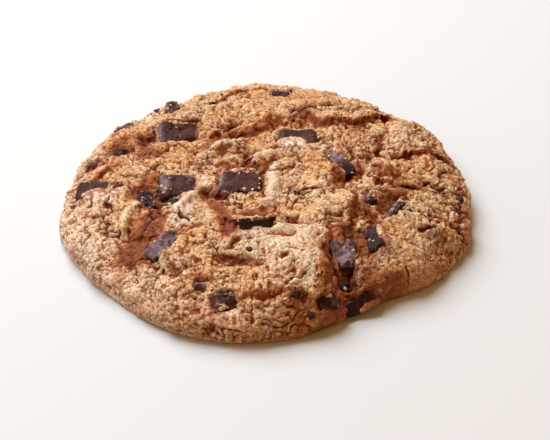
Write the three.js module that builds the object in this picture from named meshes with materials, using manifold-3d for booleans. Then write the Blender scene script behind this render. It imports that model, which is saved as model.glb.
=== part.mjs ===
// A chocolate chunk cookie: one round domed piece of baked dough with pieces of dark chocolate sunk in it.
// Millimetres, +Z up. The origin is the middle of the flat base, and -Y points to the side nearest the viewer.
import * as THREE from "three";
import { mergeVertices } from "three/addons/utils/BufferGeometryUtils.js";
import Module from "manifold-3d";

// Driving dimensions of the whole cookie
const RADIUS = 46;
const CROWN_HEIGHT = 12.4;
const CENTRING = [-0.31, 0.27]; // shift that brings the middle of the uneven outline to the origin
const WAIST_HEIGHT = 2.6; // where the side is widest
const FOOT_INSET = 0.9; // how far the base tucks in under the waist
const CROWN_POWER = 3.2; // a higher power keeps the top flat further out
const POCKET_GAP = 0.3; // between a piece of chocolate and the dough round it
const CHUNK_FLOOR = 1.2; // no chocolate comes nearer to the base than this

// Where the rim swells or draws in: direction in degrees, rise, and spread in degrees
const RIM_SWELLS = [
  { at: 90, rise: 1.9, spread: 15 },
  { at: 145, rise: -1.1, spread: 28 },
  { at: 255, rise: 2.4, spread: 18 },
  { at: 301, rise: -4.0, spread: 12 },
  { at: 140, rise: -0.9, spread: 9 },
  { at: 115, rise: -1.5, spread: 11 },
  { at: 68, rise: -1.1, spread: 10 },
  { at: 17, rise: -0.7, spread: 8 },
  { at: 197, rise: 0.9, spread: 8 },
  { at: 226, rise: -0.5, spread: 9 },
  { at: 343, rise: 1.0, spread: 9 },
];

// Cracks with one side raised. The raised side is on the left of the path, and falls away over its reach.
const SCARPS = [
  { path: [[-15, 5], [-11.5, 9], [-7, 11.6], [-3, 14.7], [0.3, 19], [4.5, 20.2], [9.5, 20.3], [14.5, 19.4],
    [19, 18], [23, 19.5], [27, 22], [31.3, 26.6], [34, 31]], rise: 2.3, face: 1.5, reach: 16 },
  { path: [[30, 7.5], [33.5, 8], [39, 7.8], [43.5, 9.8]], rise: 1.3, face: 1.3, reach: 8 },
  { path: [[-14, 29], [-10.3, 33], [-5, 34.5], [8, 36.5]], rise: 0.9, face: 1.2, reach: 6 },
  { path: [[-43, 2.4], [-41.6, 5.8], [-37.2, 6.4], [-33.5, 9]], rise: 1.5, face: 1.3, reach: 7 },
  { path: [[-40.5, -1.2], [-38, 1.9], [-36.5, 2.8], [-33.5, 4]], rise: 1.0, face: 1.1, reach: 5 },
  { path: [[11.3, -43], [11.1, -39], [11.2, -35], [11.7, -31], [12.1, -27], [12.8, -22]], rise: 2.3, face: 2.2,
    reach: 14 },
  { path: [[29, -17], [25.9, -24.6], [23.5, -28.9], [20.2, -31], [19.3, -32.5], [19, -38]], rise: 2.0, face: 1.7,
    reach: 12 },
  { path: [[12.5, -25], [14.5, -22.7], [16.7, -20], [18, -17], [19, -13]], rise: 1.6, face: 1.8, reach: 7 },
];

// Open cracks and valleys: a path with its depth and half width
const GROOVES = [
  { path: [[28.6, 22], [27.5, 14], [25.9, 9.4], [24.2, 5]], depth: 1.3, width: 1.0 },
  { path: [[27, 1.5], [28.4, -5.5]], depth: 1.0, width: 0.9 },
  { path: [[30.5, -5], [32, -7], [35, -5.2], [37.7, -2.8], [41, -2.4]], depth: 1.2, width: 1.0 },
  { path: [[-5.6, -25.5], [-7.1, -29.6], [-8.2, -32], [-10.5, -32.6]], depth: 1.5, width: 1.0 },
  { path: [[-8.2, -32], [-3.8, -34.8], [-0.2, -33.4], [4.6, -32.2]], depth: 1.3, width: 0.9 },
  { path: [[-18.9, -31.5], [-17.9, -35], [-15.4, -37.5], [-12.2, -37.6], [-9, -36.5], [-6, -37.4]], depth: 1.2,
    width: 0.9 },
  { path: [[-6.5, -41.9], [-1.1, -42.7], [4.4, -41.1]], depth: 1.0, width: 0.8 },
  { path: [[-9.5, -24.4], [-6.5, -22.9], [3, -22], [5.5, -19.5]], depth: 1.4, width: 1.2 },
  { path: [[2.4, -11.2], [5.2, -10.3], [8.8, -11.4], [11.8, -8.9], [14.5, -8.3]], depth: 1.3, width: 0.9 },
  { path: [[29.8, -7.6], [26, -14.4], [22.6, -20.6], [18.5, -25]], depth: 2.4, width: 2.2 },
  { path: [[16.3, -29], [15.8, -34.5], [16.6, -38.5], [16.2, -47]], depth: 4.4, width: 2.4 },
  { path: [[-4.8, 5.4], [-3, 0.6], [-6.5, -1.8]], depth: 1.3, width: 0.9 },
];

// Ridges of dough pushed up beside the chocolate: a path with its rise and half width
const RIDGES = [
  { path: [[-27.6, -11], [-27.8, -16], [-29, -20.5], [-33, -22]], rise: 1.3, width: 1.7 },
  { path: [[-13.8, 0.5], [-11.6, -4.8], [-12.2, -8.4], [-16.4, -11]], rise: 1.2, width: 1.4 },
  { path: [[0.2, -1], [1.7, -4.3], [2, -8.4], [1.2, -12], [1, -16]], rise: 1.3, width: 1.3 },
  { path: [[-13, 8], [-9.5, 8.8], [-5, 9]], rise: 1.0, width: 1.6 },
  { path: [[-18.4, -29.5], [-17, -25.5], [-12, -25]], rise: 0.9, width: 1.3 },
];

// Rounded mounds (rise above 0) and hollows (below 0): middle, half sizes, turn in degrees, rise
const SWELLS = [
  { at: [-27, -25.5], size: [5.5, 4.5], turn: 20, rise: -2.0 },
  { at: [-17.5, -18], size: [3, 3.4], turn: 0, rise: 0.9 },
  { at: [-5, -14.8], size: [6.3, 3.6], turn: 3, rise: -2.0 },
  { at: [-0.7, -7], size: [1.4, 4.2], turn: 0, rise: -1.7 },
  { at: [-11, -11], size: [1.7, 3], turn: 0, rise: -1.3 },
  { at: [-33.3, 10.3], size: [3.4, 2], turn: 6, rise: -1.9 },
  { at: [-27.4, 15], size: [2, 3], turn: 0, rise: -1.8 },
  { at: [-28, 8], size: [3, 3.4], turn: 0, rise: -1.0 },
  { at: [-34.7, 16.8], size: [2.6, 2.4], turn: 0, rise: 1.3 },
  { at: [-26.2, 31.5], size: [3.4, 2.6], turn: 30, rise: 1.7 },
  { at: [-10, 16.6], size: [3.6, 2.6], turn: 0, rise: -1.4 },
  { at: [17.2, -3.6], size: [3.1, 5.4], turn: -10, rise: -2.2 },
  { at: [16.5, -29.5], size: [4.6, 5.6], turn: 0, rise: -3.4 },
  { at: [22.7, -12], size: [3, 2.6], turn: 0, rise: -0.9 },
  { at: [-24.4, -11], size: [3.4, 4.8], turn: 24, rise: -1.6 },
  { at: [31, -22], size: [8, 7], turn: 30, rise: 0.8 },
  { at: [-9.4, -43.2], size: [3.4, 2.6], turn: 0, rise: -1.3 },
];

// The pieces of chocolate: middle of the face that shows, size across, along and through, turn in the plane of
// that face, its tilt towards the viewer and lean to the right (in degrees), and how far it stands proud
const CHUNKS = [
  { at: [-5.7, -7], size: [9.8, 7.4, 6], turn: -2, tilt: 8, lean: 0, proud: 0.4 },
  { at: [-19.4, -7.1], size: [8.4, 7.2, 6], turn: 6, tilt: 12, lean: 4, proud: 0.5 },
  { at: [-26.1, -9.6], size: [3.2, 7.2, 4.6], turn: 28, tilt: 14, lean: -12, proud: 0.2 },
  { at: [-20.1, -12.7], size: [3, 2, 2], turn: 8, tilt: 20, lean: 0, proud: 0.6 },
  { at: [-20.2, 15], size: [9.6, 6.4, 6], turn: 2, tilt: 26, lean: 0, proud: 0.9 },
  { at: [-22.6, 29.3], size: [3.2, 4.2, 5], turn: 0, tilt: 20, lean: 4, proud: 0.7 },
  { at: [-33.8, 23], size: [5, 2.6, 3.6], turn: 38, tilt: 0, lean: -10, proud: 0.5 },
  { at: [-38.3, -5.2], size: [7.6, 5.4, 4.4], turn: -4, tilt: 14, lean: -8, proud: 0.6 },
  { at: [-32.4, -6.2], size: [2.8, 2.8, 3], turn: 20, tilt: 14, lean: 0, proud: 0.5 },
  { at: [-21.5, -27.4], size: [9.2, 3.8, 5.6], turn: 50, tilt: 8, lean: -10, proud: 1.3 },
  { at: [7.2, 11.7], size: [8.6, 6.8, 5], turn: -3, tilt: 8, lean: 0, proud: 0.4 },
  { at: [16.9, 2], size: [8.8, 4, 5.4], turn: -58, tilt: 6, lean: 10, proud: 0.7 },
  { at: [22.7, -12.1], size: [3, 2.7, 3], turn: 0, tilt: 14, lean: 0, proud: 0.8 },
  { at: [27.4, -15.8], size: [9.8, 1.9, 4], turn: 58, tilt: 0, lean: -12, proud: 1.1 },
  { at: [23.1, -24.9], size: [3.8, 6.8, 6], turn: 10, tilt: 14, lean: -26, proud: 1.2 },
  { at: [16.4, -27.6], size: [5.4, 7, 6.4], turn: 6, tilt: 24, lean: 0, proud: 2.6 },
  { at: [12.6, -41], size: [5, 3.7, 4], turn: 16, tilt: 56, lean: -4, proud: 0.9 },
  { at: [16, -33.9], size: [2.7, 2.3, 2.4], turn: 10, tilt: 40, lean: 0, proud: 1.9 },
  { at: [19.2, -37.8], size: [8, 3.8, 2.6], turn: 33, tilt: 56, lean: 12, proud: 0.5 },
  { at: [-2.1, -21.7], size: [11.8, 2.4, 5], turn: 6, tilt: 48, lean: 0, proud: 0.6 },
  { at: [3.2, 32.1], size: [4.7, 2.8, 3.2], turn: -4, tilt: 20, lean: 0, proud: 0.5 },
  { at: [-8.3, -42.5], size: [5.2, 4.2, 4.6], turn: 10, tilt: 50, lean: 0, proud: 0.7 },
  { at: [-13.3, -40], size: [2.4, 2.2, 2.6], turn: 0, tilt: 44, lean: 0, proud: 0.5 },
];

// Specks of chocolate too small to be pieces of their own: middle and width. They are fused to the dough.
const SPECKS = [
  { at: [-13, 29.6], width: 1.8 },
  { at: [-3.4, -31], width: 1.5 },
  { at: [5, -11], width: 1.5 },
  { at: [8.8, -10.6], width: 2.2 },
  { at: [41.5, -11.5], width: 2.1 },
  { at: [43, -5], width: 1.8 },
  { at: [6.3, -41.6], width: 1.8 },
  { at: [22.9, 3.7], width: 1.9 },
  { at: [-2.6, 0.8], width: 2.0 },
  { at: [-33.4, 10.6], width: 2.4 },
  { at: [9.2, -44], width: 1.8 },
];

// Three scales of unevenness in the crust: wavelength and height
const CRAGS = [
  { wave: 11, height: 0.75 },
  { wave: 5, height: 0.6 },
  { wave: 2.8, height: 0.42 },
];
const PATH_WOBBLE = { wave: 4.5, reach: 0.7 }; // how far cracks stray from their paths

// Mesh fineness
const TOP_RINGS = 32;
const SIDE_RINGS = 2;
const SMALL_CHUNK = 4; // pieces no wider than this get a coarser mesh
const DOUGH_COLOUR = new THREE.Color(0.72, 0.45, 0.23);
const CHOCOLATE_COLOUR = new THREE.Color(0.12, 0.07, 0.055);

const clamp01 = (v) => Math.min(1, Math.max(0, v));
const radians = (degrees) => (degrees * Math.PI) / 180;

function smoothStep(low, high, v) {
  const t = clamp01((v - low) / (high - low));
  return t * t * (3 - 2 * t);
}

// A repeatable number from 0 to 1 for each cell of a lattice.
function latticeValue(i, j, k) {
  let h = Math.imul(i, 374761393) ^ Math.imul(j, 668265263) ^ Math.imul(k, 2147483647);
  h = Math.imul(h ^ (h >>> 13), 1274126177);
  return ((h ^ (h >>> 16)) >>> 0) / 4294967295;
}

// Smooth noise from -1 to 1 with the given wavelength.
function noise(x, y, z, wave, seed = 0) {
  const p = [x / wave + seed * 17.3, y / wave - seed * 9.1, z / wave + seed * 4.7];
  const cell = p.map(Math.floor);
  const f = p.map((v, n) => v - cell[n]);
  const s = f.map((t) => t * t * t * (t * (t * 6 - 15) + 10));
  let sum = 0;
  for (let corner = 0; corner < 8; corner++) {
    const step = [corner & 1, (corner >> 1) & 1, corner >> 2];
    const weight = s.reduce((w, t, n) => w * (step[n] ? t : 1 - t), 1);
    sum += weight * latticeValue(cell[0] + step[0], cell[1] + step[1], cell[2] + step[2]);
  }
  return 2 * sum - 1;
}

// Distance to a path (positive on its left), and 1 along it fading to 0 past its ends.
function alongPath(path, x, y) {
  const lengths = path.slice(1).map((b, n) => Math.hypot(b[0] - path[n][0], b[1] - path[n][1]));
  const total = lengths.reduce((a, b) => a + b, 0);
  let nearest = { gap: Infinity };
  let walked = 0;
  lengths.forEach((length, n) => {
    const [ax, ay] = path[n];
    const [ux, uy] = [(path[n + 1][0] - ax) / length, (path[n + 1][1] - ay) / length];
    const along = Math.min(length, Math.max(0, (x - ax) * ux + (y - ay) * uy));
    const [dx, dy] = [x - ax - ux * along, y - ay - uy * along];
    const gap = Math.hypot(dx, dy);
    if (gap < nearest.gap) nearest = { gap, side: ux * dy - uy * dx < 0 ? -1 : 1, at: walked + along };
    walked += length;
  });
  const taper = smoothStep(0, 0.18, Math.min(nearest.at, total - nearest.at) / total + 0.04);
  return { offset: nearest.gap * nearest.side, gap: nearest.gap, taper };
}

// The rise of the top above the plain dome, from every crack, ridge, mound and hollow.
function relief(x0, y0) {
  const x = x0 + PATH_WOBBLE.reach * noise(x0, y0, 0, PATH_WOBBLE.wave, 5);
  const y = y0 + PATH_WOBBLE.reach * noise(x0, y0, 0, PATH_WOBBLE.wave, 6);
  let z = 0;
  for (const { path, rise, face, reach } of SCARPS) {
    const { offset, taper } = alongPath(path, x, y);
    z += rise * taper * smoothStep(-face / 2, face / 2, offset) * Math.exp(-Math.max(0, offset) / reach);
  }
  for (const { path, depth, width } of GROOVES) {
    const { gap, taper } = alongPath(path, x, y);
    z -= depth * taper * Math.exp(-((gap / width) ** 2));
  }
  for (const { path, rise, width } of RIDGES) {
    const { gap, taper } = alongPath(path, x, y);
    z += rise * taper * Math.exp(-((gap / width) ** 2));
  }
  for (const { at, size, turn, rise } of SWELLS) {
    const [c, s] = [Math.cos(radians(turn)), Math.sin(radians(turn))];
    const [dx, dy] = [x - at[0], y - at[1]];
    const reach = ((dx * c + dy * s) / size[0]) ** 2 + ((dy * c - dx * s) / size[1]) ** 2;
    z += rise * Math.exp(-reach);
  }
  return z;
}

function rimRadius(angle) {
  return RIM_SWELLS.reduce((r, { at, rise, spread }) => {
    const off = ((((angle * 180) / Math.PI - at + 180) % 360) + 360) % 360 - 180;
    return r + rise * Math.exp(-((off / spread) ** 2) / 2);
  }, RADIUS);
}

// The plain cross-section: share of the rim radius, inset and height, for t from 0 (middle) to 1 (waist) to 2 (foot).
function section(t) {
  if (t <= 1) {
    return { share: t, inset: 0, z: WAIST_HEIGHT + (CROWN_HEIGHT - WAIST_HEIGHT) * Math.sqrt(1 - t ** CROWN_POWER) };
  }
  const turn = ((t - 1) * Math.PI) / 2;
  return { share: 1, inset: FOOT_INSET * (1 - Math.cos(turn)), z: WAIST_HEIGHT * (1 - Math.sin(turn)) };
}

// A point of the baked surface, given where it is on the cross-section and its direction from the middle.
function surfacePoint(t, angle) {
  const step = 0.002;
  const here = section(t);
  const rim = rimRadius(angle);
  const [before, after] = [section(Math.max(0, t - step)), section(t + step)];
  const run = (after.share - before.share) * rim - (after.inset - before.inset);
  const fall = before.z - after.z;
  const outward = fall / Math.hypot(run, fall);
  const upward = run / Math.hypot(run, fall);
  const r = here.share * rim - here.inset;
  const [x, y] = [r * Math.cos(angle), r * Math.sin(angle)];
  const lift = clamp01((here.z - WAIST_HEIGHT) / (CROWN_HEIGHT - WAIST_HEIGHT)) ** 0.6;
  const rough = smoothStep(0, WAIST_HEIGHT, here.z);
  const crag = rough * CRAGS.reduce((sum, { wave, height }, n) => sum + height * noise(x, y, here.z, wave, n + 1), 0);
  return new THREE.Vector3(
    x + crag * outward * Math.cos(angle),
    y + crag * outward * Math.sin(angle),
    here.z + crag * upward + (t <= 1 ? relief(x, y) * lift : 0),
  );
}

// The height of the top over a point of the plan.
function topHeight(x, y) {
  const angle = Math.atan2(y, x);
  return surfacePoint(Math.min(1, Math.hypot(x, y) / rimRadius(angle)), angle).z;
}

// Triangles between two rings of vertices that may differ in number.
function stitch(faces, inner, outer) {
  let [a, b] = [0, 0];
  while (a < inner.count || b < outer.count) {
    const [i, o] = [inner.start + (a % inner.count), outer.start + (b % outer.count)];
    if ((b + 1) / outer.count <= (a + 1) / inner.count) {
      b += 1;
      faces.push(i, o, outer.start + (b % outer.count));
    } else {
      a += 1;
      faces.push(i, o, inner.start + (a % inner.count));
    }
  }
}

// Where each ring of the top lies, so that the rings are evenly spaced along the curve of the section.
function ringPlaces(count) {
  const samples = 400;
  const walked = [0];
  for (let n = 1; n <= samples; n++) {
    const [a, b] = [section((n - 1) / samples), section(n / samples)];
    walked.push(walked[n - 1] + Math.hypot((b.share - a.share) * RADIUS, b.z - a.z));
  }
  return Array.from({ length: count }, (_, k) => {
    const goal = (walked[samples] * (k + 1)) / count;
    const n = walked.findIndex((w) => w >= goal - 1e-9);
    return (n - (walked[n] - goal) / (walked[n] - walked[n - 1])) / samples;
  });
}

// The whole dough before its pockets: the top and side in rings, and a flat base closed in coarser rings.
function doughGeometry() {
  const points = [surfacePoint(0, 0)];
  const faces = [];
  const addRing = (count, place) => {
    const ring = { start: points.length, count };
    for (let n = 0; n < count; n++) points.push(place((2 * Math.PI * n) / count));
    return ring;
  };
  let last = addRing(6, (angle) => surfacePoint(ringPlaces(TOP_RINGS)[0], angle));
  for (let n = 0; n < 6; n++) faces.push(0, last.start + n, last.start + ((n + 1) % 6));
  const grow = (count, place) => {
    const ring = addRing(count, place);
    stitch(faces, last, ring);
    last = ring;
  };
  ringPlaces(TOP_RINGS).slice(1).forEach((t, k) => grow(6 * (k + 2), (angle) => surfacePoint(t, angle)));
  const edgeCount = 6 * TOP_RINGS;
  for (let n = 1; n <= SIDE_RINGS; n++) grow(edgeCount, (angle) => surfacePoint(1 + n / SIDE_RINGS, angle));
  for (const [share, count] of [[0.94, edgeCount / 2], [0.8, edgeCount / 4], [0.5, 24], [0.2, 8]]) {
    grow(Math.round(count), (angle) => {
      const r = share * (rimRadius(angle) - FOOT_INSET);
      return new THREE.Vector3(r * Math.cos(angle), r * Math.sin(angle), 0);
    });
  }
  points.push(new THREE.Vector3(0, 0, 0));
  for (let n = 0; n < last.count; n++) {
    faces.push(last.start + n, points.length - 1, last.start + ((n + 1) % last.count));
  }
  return new THREE.BufferGeometry().setFromPoints(points).setIndex(faces);
}

// A broken block of chocolate, one unit across each way: a box with soft edges and uneven faces.
function blockGeometry(seed, steps) {
  const edgePower = 5; // a higher power gives sharper edges
  const unevenness = 0.07;
  const block = new THREE.BoxGeometry(1, 1, 1, ...steps);
  block.deleteAttribute("normal");
  block.deleteAttribute("uv");
  const merged = mergeVertices(block);
  const place = merged.getAttribute("position");
  const v = new THREE.Vector3();
  for (let n = 0; n < place.count; n++) {
    v.fromBufferAttribute(place, n);
    const parts = [v.x, v.y, v.z].map((part) => Math.abs(part) * 2);
    const size = parts.reduce((sum, part) => sum + part ** edgePower, 0) ** (1 / edgePower);
    v.multiplyScalar((Math.max(...parts) / size) * (1 + unevenness * noise(v.x, v.y, v.z, 0.55, seed)));
    place.setXYZ(n, v.x, v.y, v.z);
  }
  return merged;
}

// Where a chunk's block has its middle, and which way it is turned.
function chunkPlace({ at, size, turn, tilt, lean, proud }) {
  const place = new THREE.Object3D();
  place.rotation.set(radians(tilt), radians(lean), radians(turn), "XYZ");
  const facing = new THREE.Vector3(0, 0, 1).applyEuler(place.rotation);
  place.position.set(at[0], at[1], topHeight(...at)).addScaledVector(facing, proud - size[2] / 2);
  place.updateMatrix();
  return place;
}

// A speck of chocolate, half sunk in the dough.
function speckGeometry({ at, width }) {
  const speck = new THREE.IcosahedronGeometry(width / 2, 0);
  return speck.applyMatrix4(new THREE.Matrix4().makeTranslation(at[0], at[1], topHeight(...at) + width * 0.12));
}

const wasm = await Module();
wasm.setup();

// A closed geometry as a solid that can be joined and cut.
function toSolid(geometry) {
  const bare = new THREE.BufferGeometry().setAttribute("position", geometry.getAttribute("position"));
  if (geometry.index) bare.setIndex(geometry.index);
  const merged = mergeVertices(bare, 1e-4);
  return new wasm.Manifold(new wasm.Mesh({
    numProp: 3,
    vertProperties: new Float32Array(merged.getAttribute("position").array),
    triVerts: new Uint32Array(merged.index.array),
  }));
}

function toGeometry(solid) {
  const { vertProperties, triVerts } = solid.getMesh();
  return new THREE.BufferGeometry()
    .setAttribute("position", new THREE.BufferAttribute(vertProperties, 3))
    .setIndex(new THREE.BufferAttribute(triVerts, 1));
}

// A chunk about its own middle, larger all round by the gap, and cut off level near the base of the cookie.
function chunkSolid(chunk, index, gap) {
  const steps = Math.max(...chunk.size) > SMALL_CHUNK ? [3, 3, 2] : [2, 2, 1];
  const block = blockGeometry(20 + index, steps).scale(...chunk.size.map((length) => length + 2 * gap));
  const depth = 20;
  const below = new THREE.BoxGeometry(4 * RADIUS, 4 * RADIUS, depth);
  below.translate(0, 0, CHUNK_FLOOR - gap - depth / 2).applyMatrix4(chunkPlace(chunk).matrix.invert());
  return toSolid(block).subtract(toSolid(below));
}

// The dough with its specks fused on and a pocket cut for every chunk, without any loose scrap.
function doughSolid() {
  let dough = toSolid(doughGeometry());
  for (const speck of SPECKS) dough = dough.add(toSolid(speckGeometry(speck)));
  CHUNKS.forEach((chunk, n) => {
    const pocket = toGeometry(chunkSolid(chunk, n, POCKET_GAP)).applyMatrix4(chunkPlace(chunk).matrix);
    dough = dough.subtract(toSolid(pocket));
  });
  return dough.decompose().reduce((a, b) => (a.volume() > b.volume() ? a : b));
}

function mesh(name, solid, colour, roughness) {
  const geometry = toGeometry(solid);
  geometry.computeVertexNormals();
  const made = new THREE.Mesh(geometry, new THREE.MeshStandardMaterial({ color: colour, roughness, metalness: 0 }));
  made.name = name;
  return made;
}

const chocolate = new THREE.Group();
CHUNKS.forEach((chunk, n) => {
  const name = `chunk_${String(n + 1).padStart(2, "0")}`;
  const piece = mesh(name, chunkSolid(chunk, n, 0), CHOCOLATE_COLOUR, 0.35);
  const place = chunkPlace(chunk);
  piece.position.copy(place.position);
  piece.rotation.copy(place.rotation);
  chocolate.add(piece);
});

const cookie = new THREE.Group();
cookie.add(mesh("dough", doughSolid(), DOUGH_COLOUR, 0.9), chocolate);
cookie.position.set(...CENTRING, 0);

export default cookie;
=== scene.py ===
# %% [markdown]
# # A chocolate chunk cookie
# A large bakery cookie: a round of golden-brown dough that has risen, cracked and set, with pieces of dark
# chocolate broken into it. Its look comes from three things, and each has its own cells below. The baked
# dough is a fine mesh with real cracks and grain. The chocolate is broken blocks with a soft sheen. The
# crumbs are small loose bits that lie on both. The frame holds the plain solids of the same cookie. The
# dough and each piece of chocolate made here take the place of one of them, and the crumbs and specks come
# on top.

import math

import bmesh
import bpy
import numpy as np
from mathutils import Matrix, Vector


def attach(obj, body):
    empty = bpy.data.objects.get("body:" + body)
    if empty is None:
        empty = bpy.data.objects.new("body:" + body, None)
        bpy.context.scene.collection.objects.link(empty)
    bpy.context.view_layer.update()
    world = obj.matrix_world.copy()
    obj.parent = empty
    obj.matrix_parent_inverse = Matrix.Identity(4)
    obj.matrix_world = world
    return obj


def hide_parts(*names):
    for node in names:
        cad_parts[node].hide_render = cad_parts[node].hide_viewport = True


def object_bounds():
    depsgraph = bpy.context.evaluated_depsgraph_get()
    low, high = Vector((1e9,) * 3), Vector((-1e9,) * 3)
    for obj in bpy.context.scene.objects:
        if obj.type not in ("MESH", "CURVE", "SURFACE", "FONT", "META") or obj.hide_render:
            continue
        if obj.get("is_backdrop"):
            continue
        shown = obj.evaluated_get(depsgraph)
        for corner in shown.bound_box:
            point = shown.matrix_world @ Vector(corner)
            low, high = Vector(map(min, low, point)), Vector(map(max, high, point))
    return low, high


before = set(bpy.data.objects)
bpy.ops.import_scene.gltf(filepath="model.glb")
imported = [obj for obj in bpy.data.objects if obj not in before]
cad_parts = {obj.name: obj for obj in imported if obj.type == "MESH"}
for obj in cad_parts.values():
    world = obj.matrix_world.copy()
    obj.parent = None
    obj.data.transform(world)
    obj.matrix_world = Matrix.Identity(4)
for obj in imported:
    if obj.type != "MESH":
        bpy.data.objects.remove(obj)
cad_low, cad_high = (np.array(corner) * 1000 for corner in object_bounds())
print("plain solids, mm:", cad_low.round(2), "to", cad_high.round(2))

# %% [markdown]
# ## Camera
# A long lens from a little way off keeps the near edge from looming, where a wide lens close by would bend
# the outline. The height of 35 degrees is the one at which the outline comes out as a round. The camera
# has no shift: it looks straight at a point a little in front of the middle. Lengths are in metres, as in
# all of Blender, and the shape's own numbers further down are in millimetres.

# %% Camera
MM = 0.001
looked_at = Vector((1.69, -10.33, 5.0)) * MM
height_angle = math.radians(35)
distance = 336 * MM
view_back = Vector((0, -math.cos(height_angle), math.sin(height_angle)))

camera_data = bpy.data.cameras.new("camera")
camera_data.lens = 100
camera_data.sensor_width = 36
camera_data.clip_start = 0.01
camera = bpy.data.objects.new("camera", camera_data)
camera.location = looked_at + view_back * distance
camera.rotation_euler = (-view_back).to_track_quat("-Z", "Y").to_euler()
bpy.context.scene.collection.objects.link(camera)
bpy.context.scene.camera = camera
print("camera at", [round(v, 3) for v in camera.location])

# %% [markdown]
# ## Light
# Food is mostly lit by one large window. Here it is a soft disk high on the left and behind, which lights
# the tops of the grains and leaves their near sides in shade, and that is what makes the crust look rough.
# A weak low light opens the shade of the left wall. The surround is warm, like light that has bounced off
# baked dough. A picture of a room could light the scene too, but two lights are easier to set and need no
# file.

# %% Light
WINDOW = {"place": (-0.31, 0.33, 0.66), "size": 0.8, "watts": 13.6, "colour": (0.90, 1.01, 1.14)}
SIDE_FILL = {"place": (-0.52, -0.12, 0.16), "size": 0.3, "watts": 0.55, "colour": (1.0, 0.96, 0.95)}
SURROUND_COLOUR = (1.0, 0.56, 0.22, 1)
SURROUND_STRENGTH = 0.55


def soft_light(name, place, size, watts, colour):
    data = bpy.data.lights.new(name, "AREA")
    data.shape = "DISK"
    data.size = size
    data.energy = watts
    data.color = colour
    light = bpy.data.objects.new(name, data)
    light.location = place
    light.rotation_euler = (-Vector(place)).to_track_quat("-Z", "Y").to_euler()
    bpy.context.scene.collection.objects.link(light)
    return light


soft_light("window", **WINDOW)
soft_light("side_fill", **SIDE_FILL)

world = bpy.data.worlds.new("studio")
world.use_nodes = True
surround = world.node_tree.nodes["Background"]
surround.inputs["Color"].default_value = SURROUND_COLOUR
surround.inputs["Strength"].default_value = SURROUND_STRENGTH
bpy.context.scene.world = world
bpy.context.scene.view_settings.view_transform = "Standard"

# %% [markdown]
# ## Floor
# The cookie lies on something plain and pale, which catches its shadow and throws a little light back
# under its edge. It could be a curved backdrop, but the camera looks down and never sees where a flat
# sheet ends.

# %% Floor
FLOOR_HALF = 3
FLOOR_COLOUR = (0.50, 0.50, 0.485, 1)
floor_mesh = bpy.data.meshes.new("floor")
floor_corners = [(x * FLOOR_HALF, y * FLOOR_HALF, 0) for x, y in ((-1, -1), (1, -1), (1, 1), (-1, 1))]
floor_mesh.from_pydata(floor_corners, [], [(0, 1, 2, 3)])
floor = bpy.data.objects.new("floor", floor_mesh)
floor_finish = bpy.data.materials.new("floor")
floor_finish.use_nodes = True
floor_shader = floor_finish.node_tree.nodes["Principled BSDF"]
floor_shader.inputs["Base Color"].default_value = FLOOR_COLOUR
floor_shader.inputs["Roughness"].default_value = 0.9
floor_mesh.materials.append(floor_finish)
bpy.context.scene.collection.objects.link(floor)
floor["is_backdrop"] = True
print("floor:", 2 * FLOOR_HALF, "m wide")

# %% [markdown]
# ## Noise that repeats
# Dough cracks by chance, but a model has to come out the same each time. So chance is taken from a
# lattice: each corner of a grid in space gets a fixed number from its own three coordinates, and blended
# smoothly the numbers make rolling noise. Blender has noise of its own, but here the same noise has to
# shape meshes point by point.

# %% Rolling noise
def smooth_step(low, high, v):
    t = np.clip((v - low) / (high - low), 0, 1)
    return t * t * (3 - 2 * t)


def corner_number(i, j, k):
    """A fixed number from 0 to 1 for each corner of the lattice: large odd numbers mix its coordinates."""
    h = i.astype(np.uint32) * np.uint32(374761393)
    h ^= j.astype(np.uint32) * np.uint32(668265263)
    h ^= k.astype(np.uint32) * np.uint32(2147483647)
    h = (h ^ (h >> np.uint32(13))) * np.uint32(1274126177)
    return (h ^ (h >> np.uint32(16))) / 4294967295


def rolling(points, wave, seed=0):
    """Smooth noise from -1 to 1."""
    p = points / wave + seed * np.array([17.3, -9.1, 4.7])
    cell = np.floor(p).astype(np.int64)
    f = p - cell
    s = f * f * f * (f * (f * 6 - 15) + 10)
    total = 0
    for corner in range(8):
        step = (corner & 1, (corner >> 1) & 1, corner >> 2)
        weight = np.prod([s[:, n] if step[n] else 1 - s[:, n] for n in range(3)], axis=0)
        total = total + weight * corner_number(*(cell[:, n] + step[n] for n in range(3)))
    return 2 * total - 1


sample = np.random.default_rng(1).uniform(-40, 40, (2000, 3))
print("rolling noise spread:", rolling(sample, 5).std().round(3))

# %% [markdown]
# ## Grains from seeds
# A crumbly crust is packed grains, each with its own size and tone. If one seed is put by chance in each
# cell of the lattice, the space nearer to one seed than to any other is a grain. The borders lie where the
# two nearest seeds are equally far. Real packing by physics would take minutes and look much the same.

# %% Grains from seeds
def grains(points, size, seed=0):
    """Distance to the nearest and the next seed, in grain sizes, and a fixed number for the nearest."""
    p = points / size + seed * np.array([5.1, 11.7, -3.3])
    cell = np.floor(p).astype(np.int64)
    first = np.full(len(p), 9.0)
    second = np.full(len(p), 9.0)
    tone = np.zeros(len(p))
    for step in np.ndindex(3, 3, 3):
        c = cell + np.array(step) - 1
        jitter = [corner_number(c[:, 0] + 7 * n, c[:, 1] - 13 * n, c[:, 2] + 29 * n) for n in range(3)]
        jitter = np.stack(jitter, 1)
        gap = np.linalg.norm(c + 0.15 + 0.7 * jitter - p, axis=1)
        nearer = gap < first
        second = np.where(nearer, first, np.minimum(second, gap))
        tone = np.where(nearer, corner_number(c[:, 0] + 101, c[:, 1], c[:, 2]), tone)
        first = np.where(nearer, gap, first)
    return first, second, tone


print("nearest seed, in grain sizes:", grains(sample, 5)[0].mean().round(3))

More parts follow.
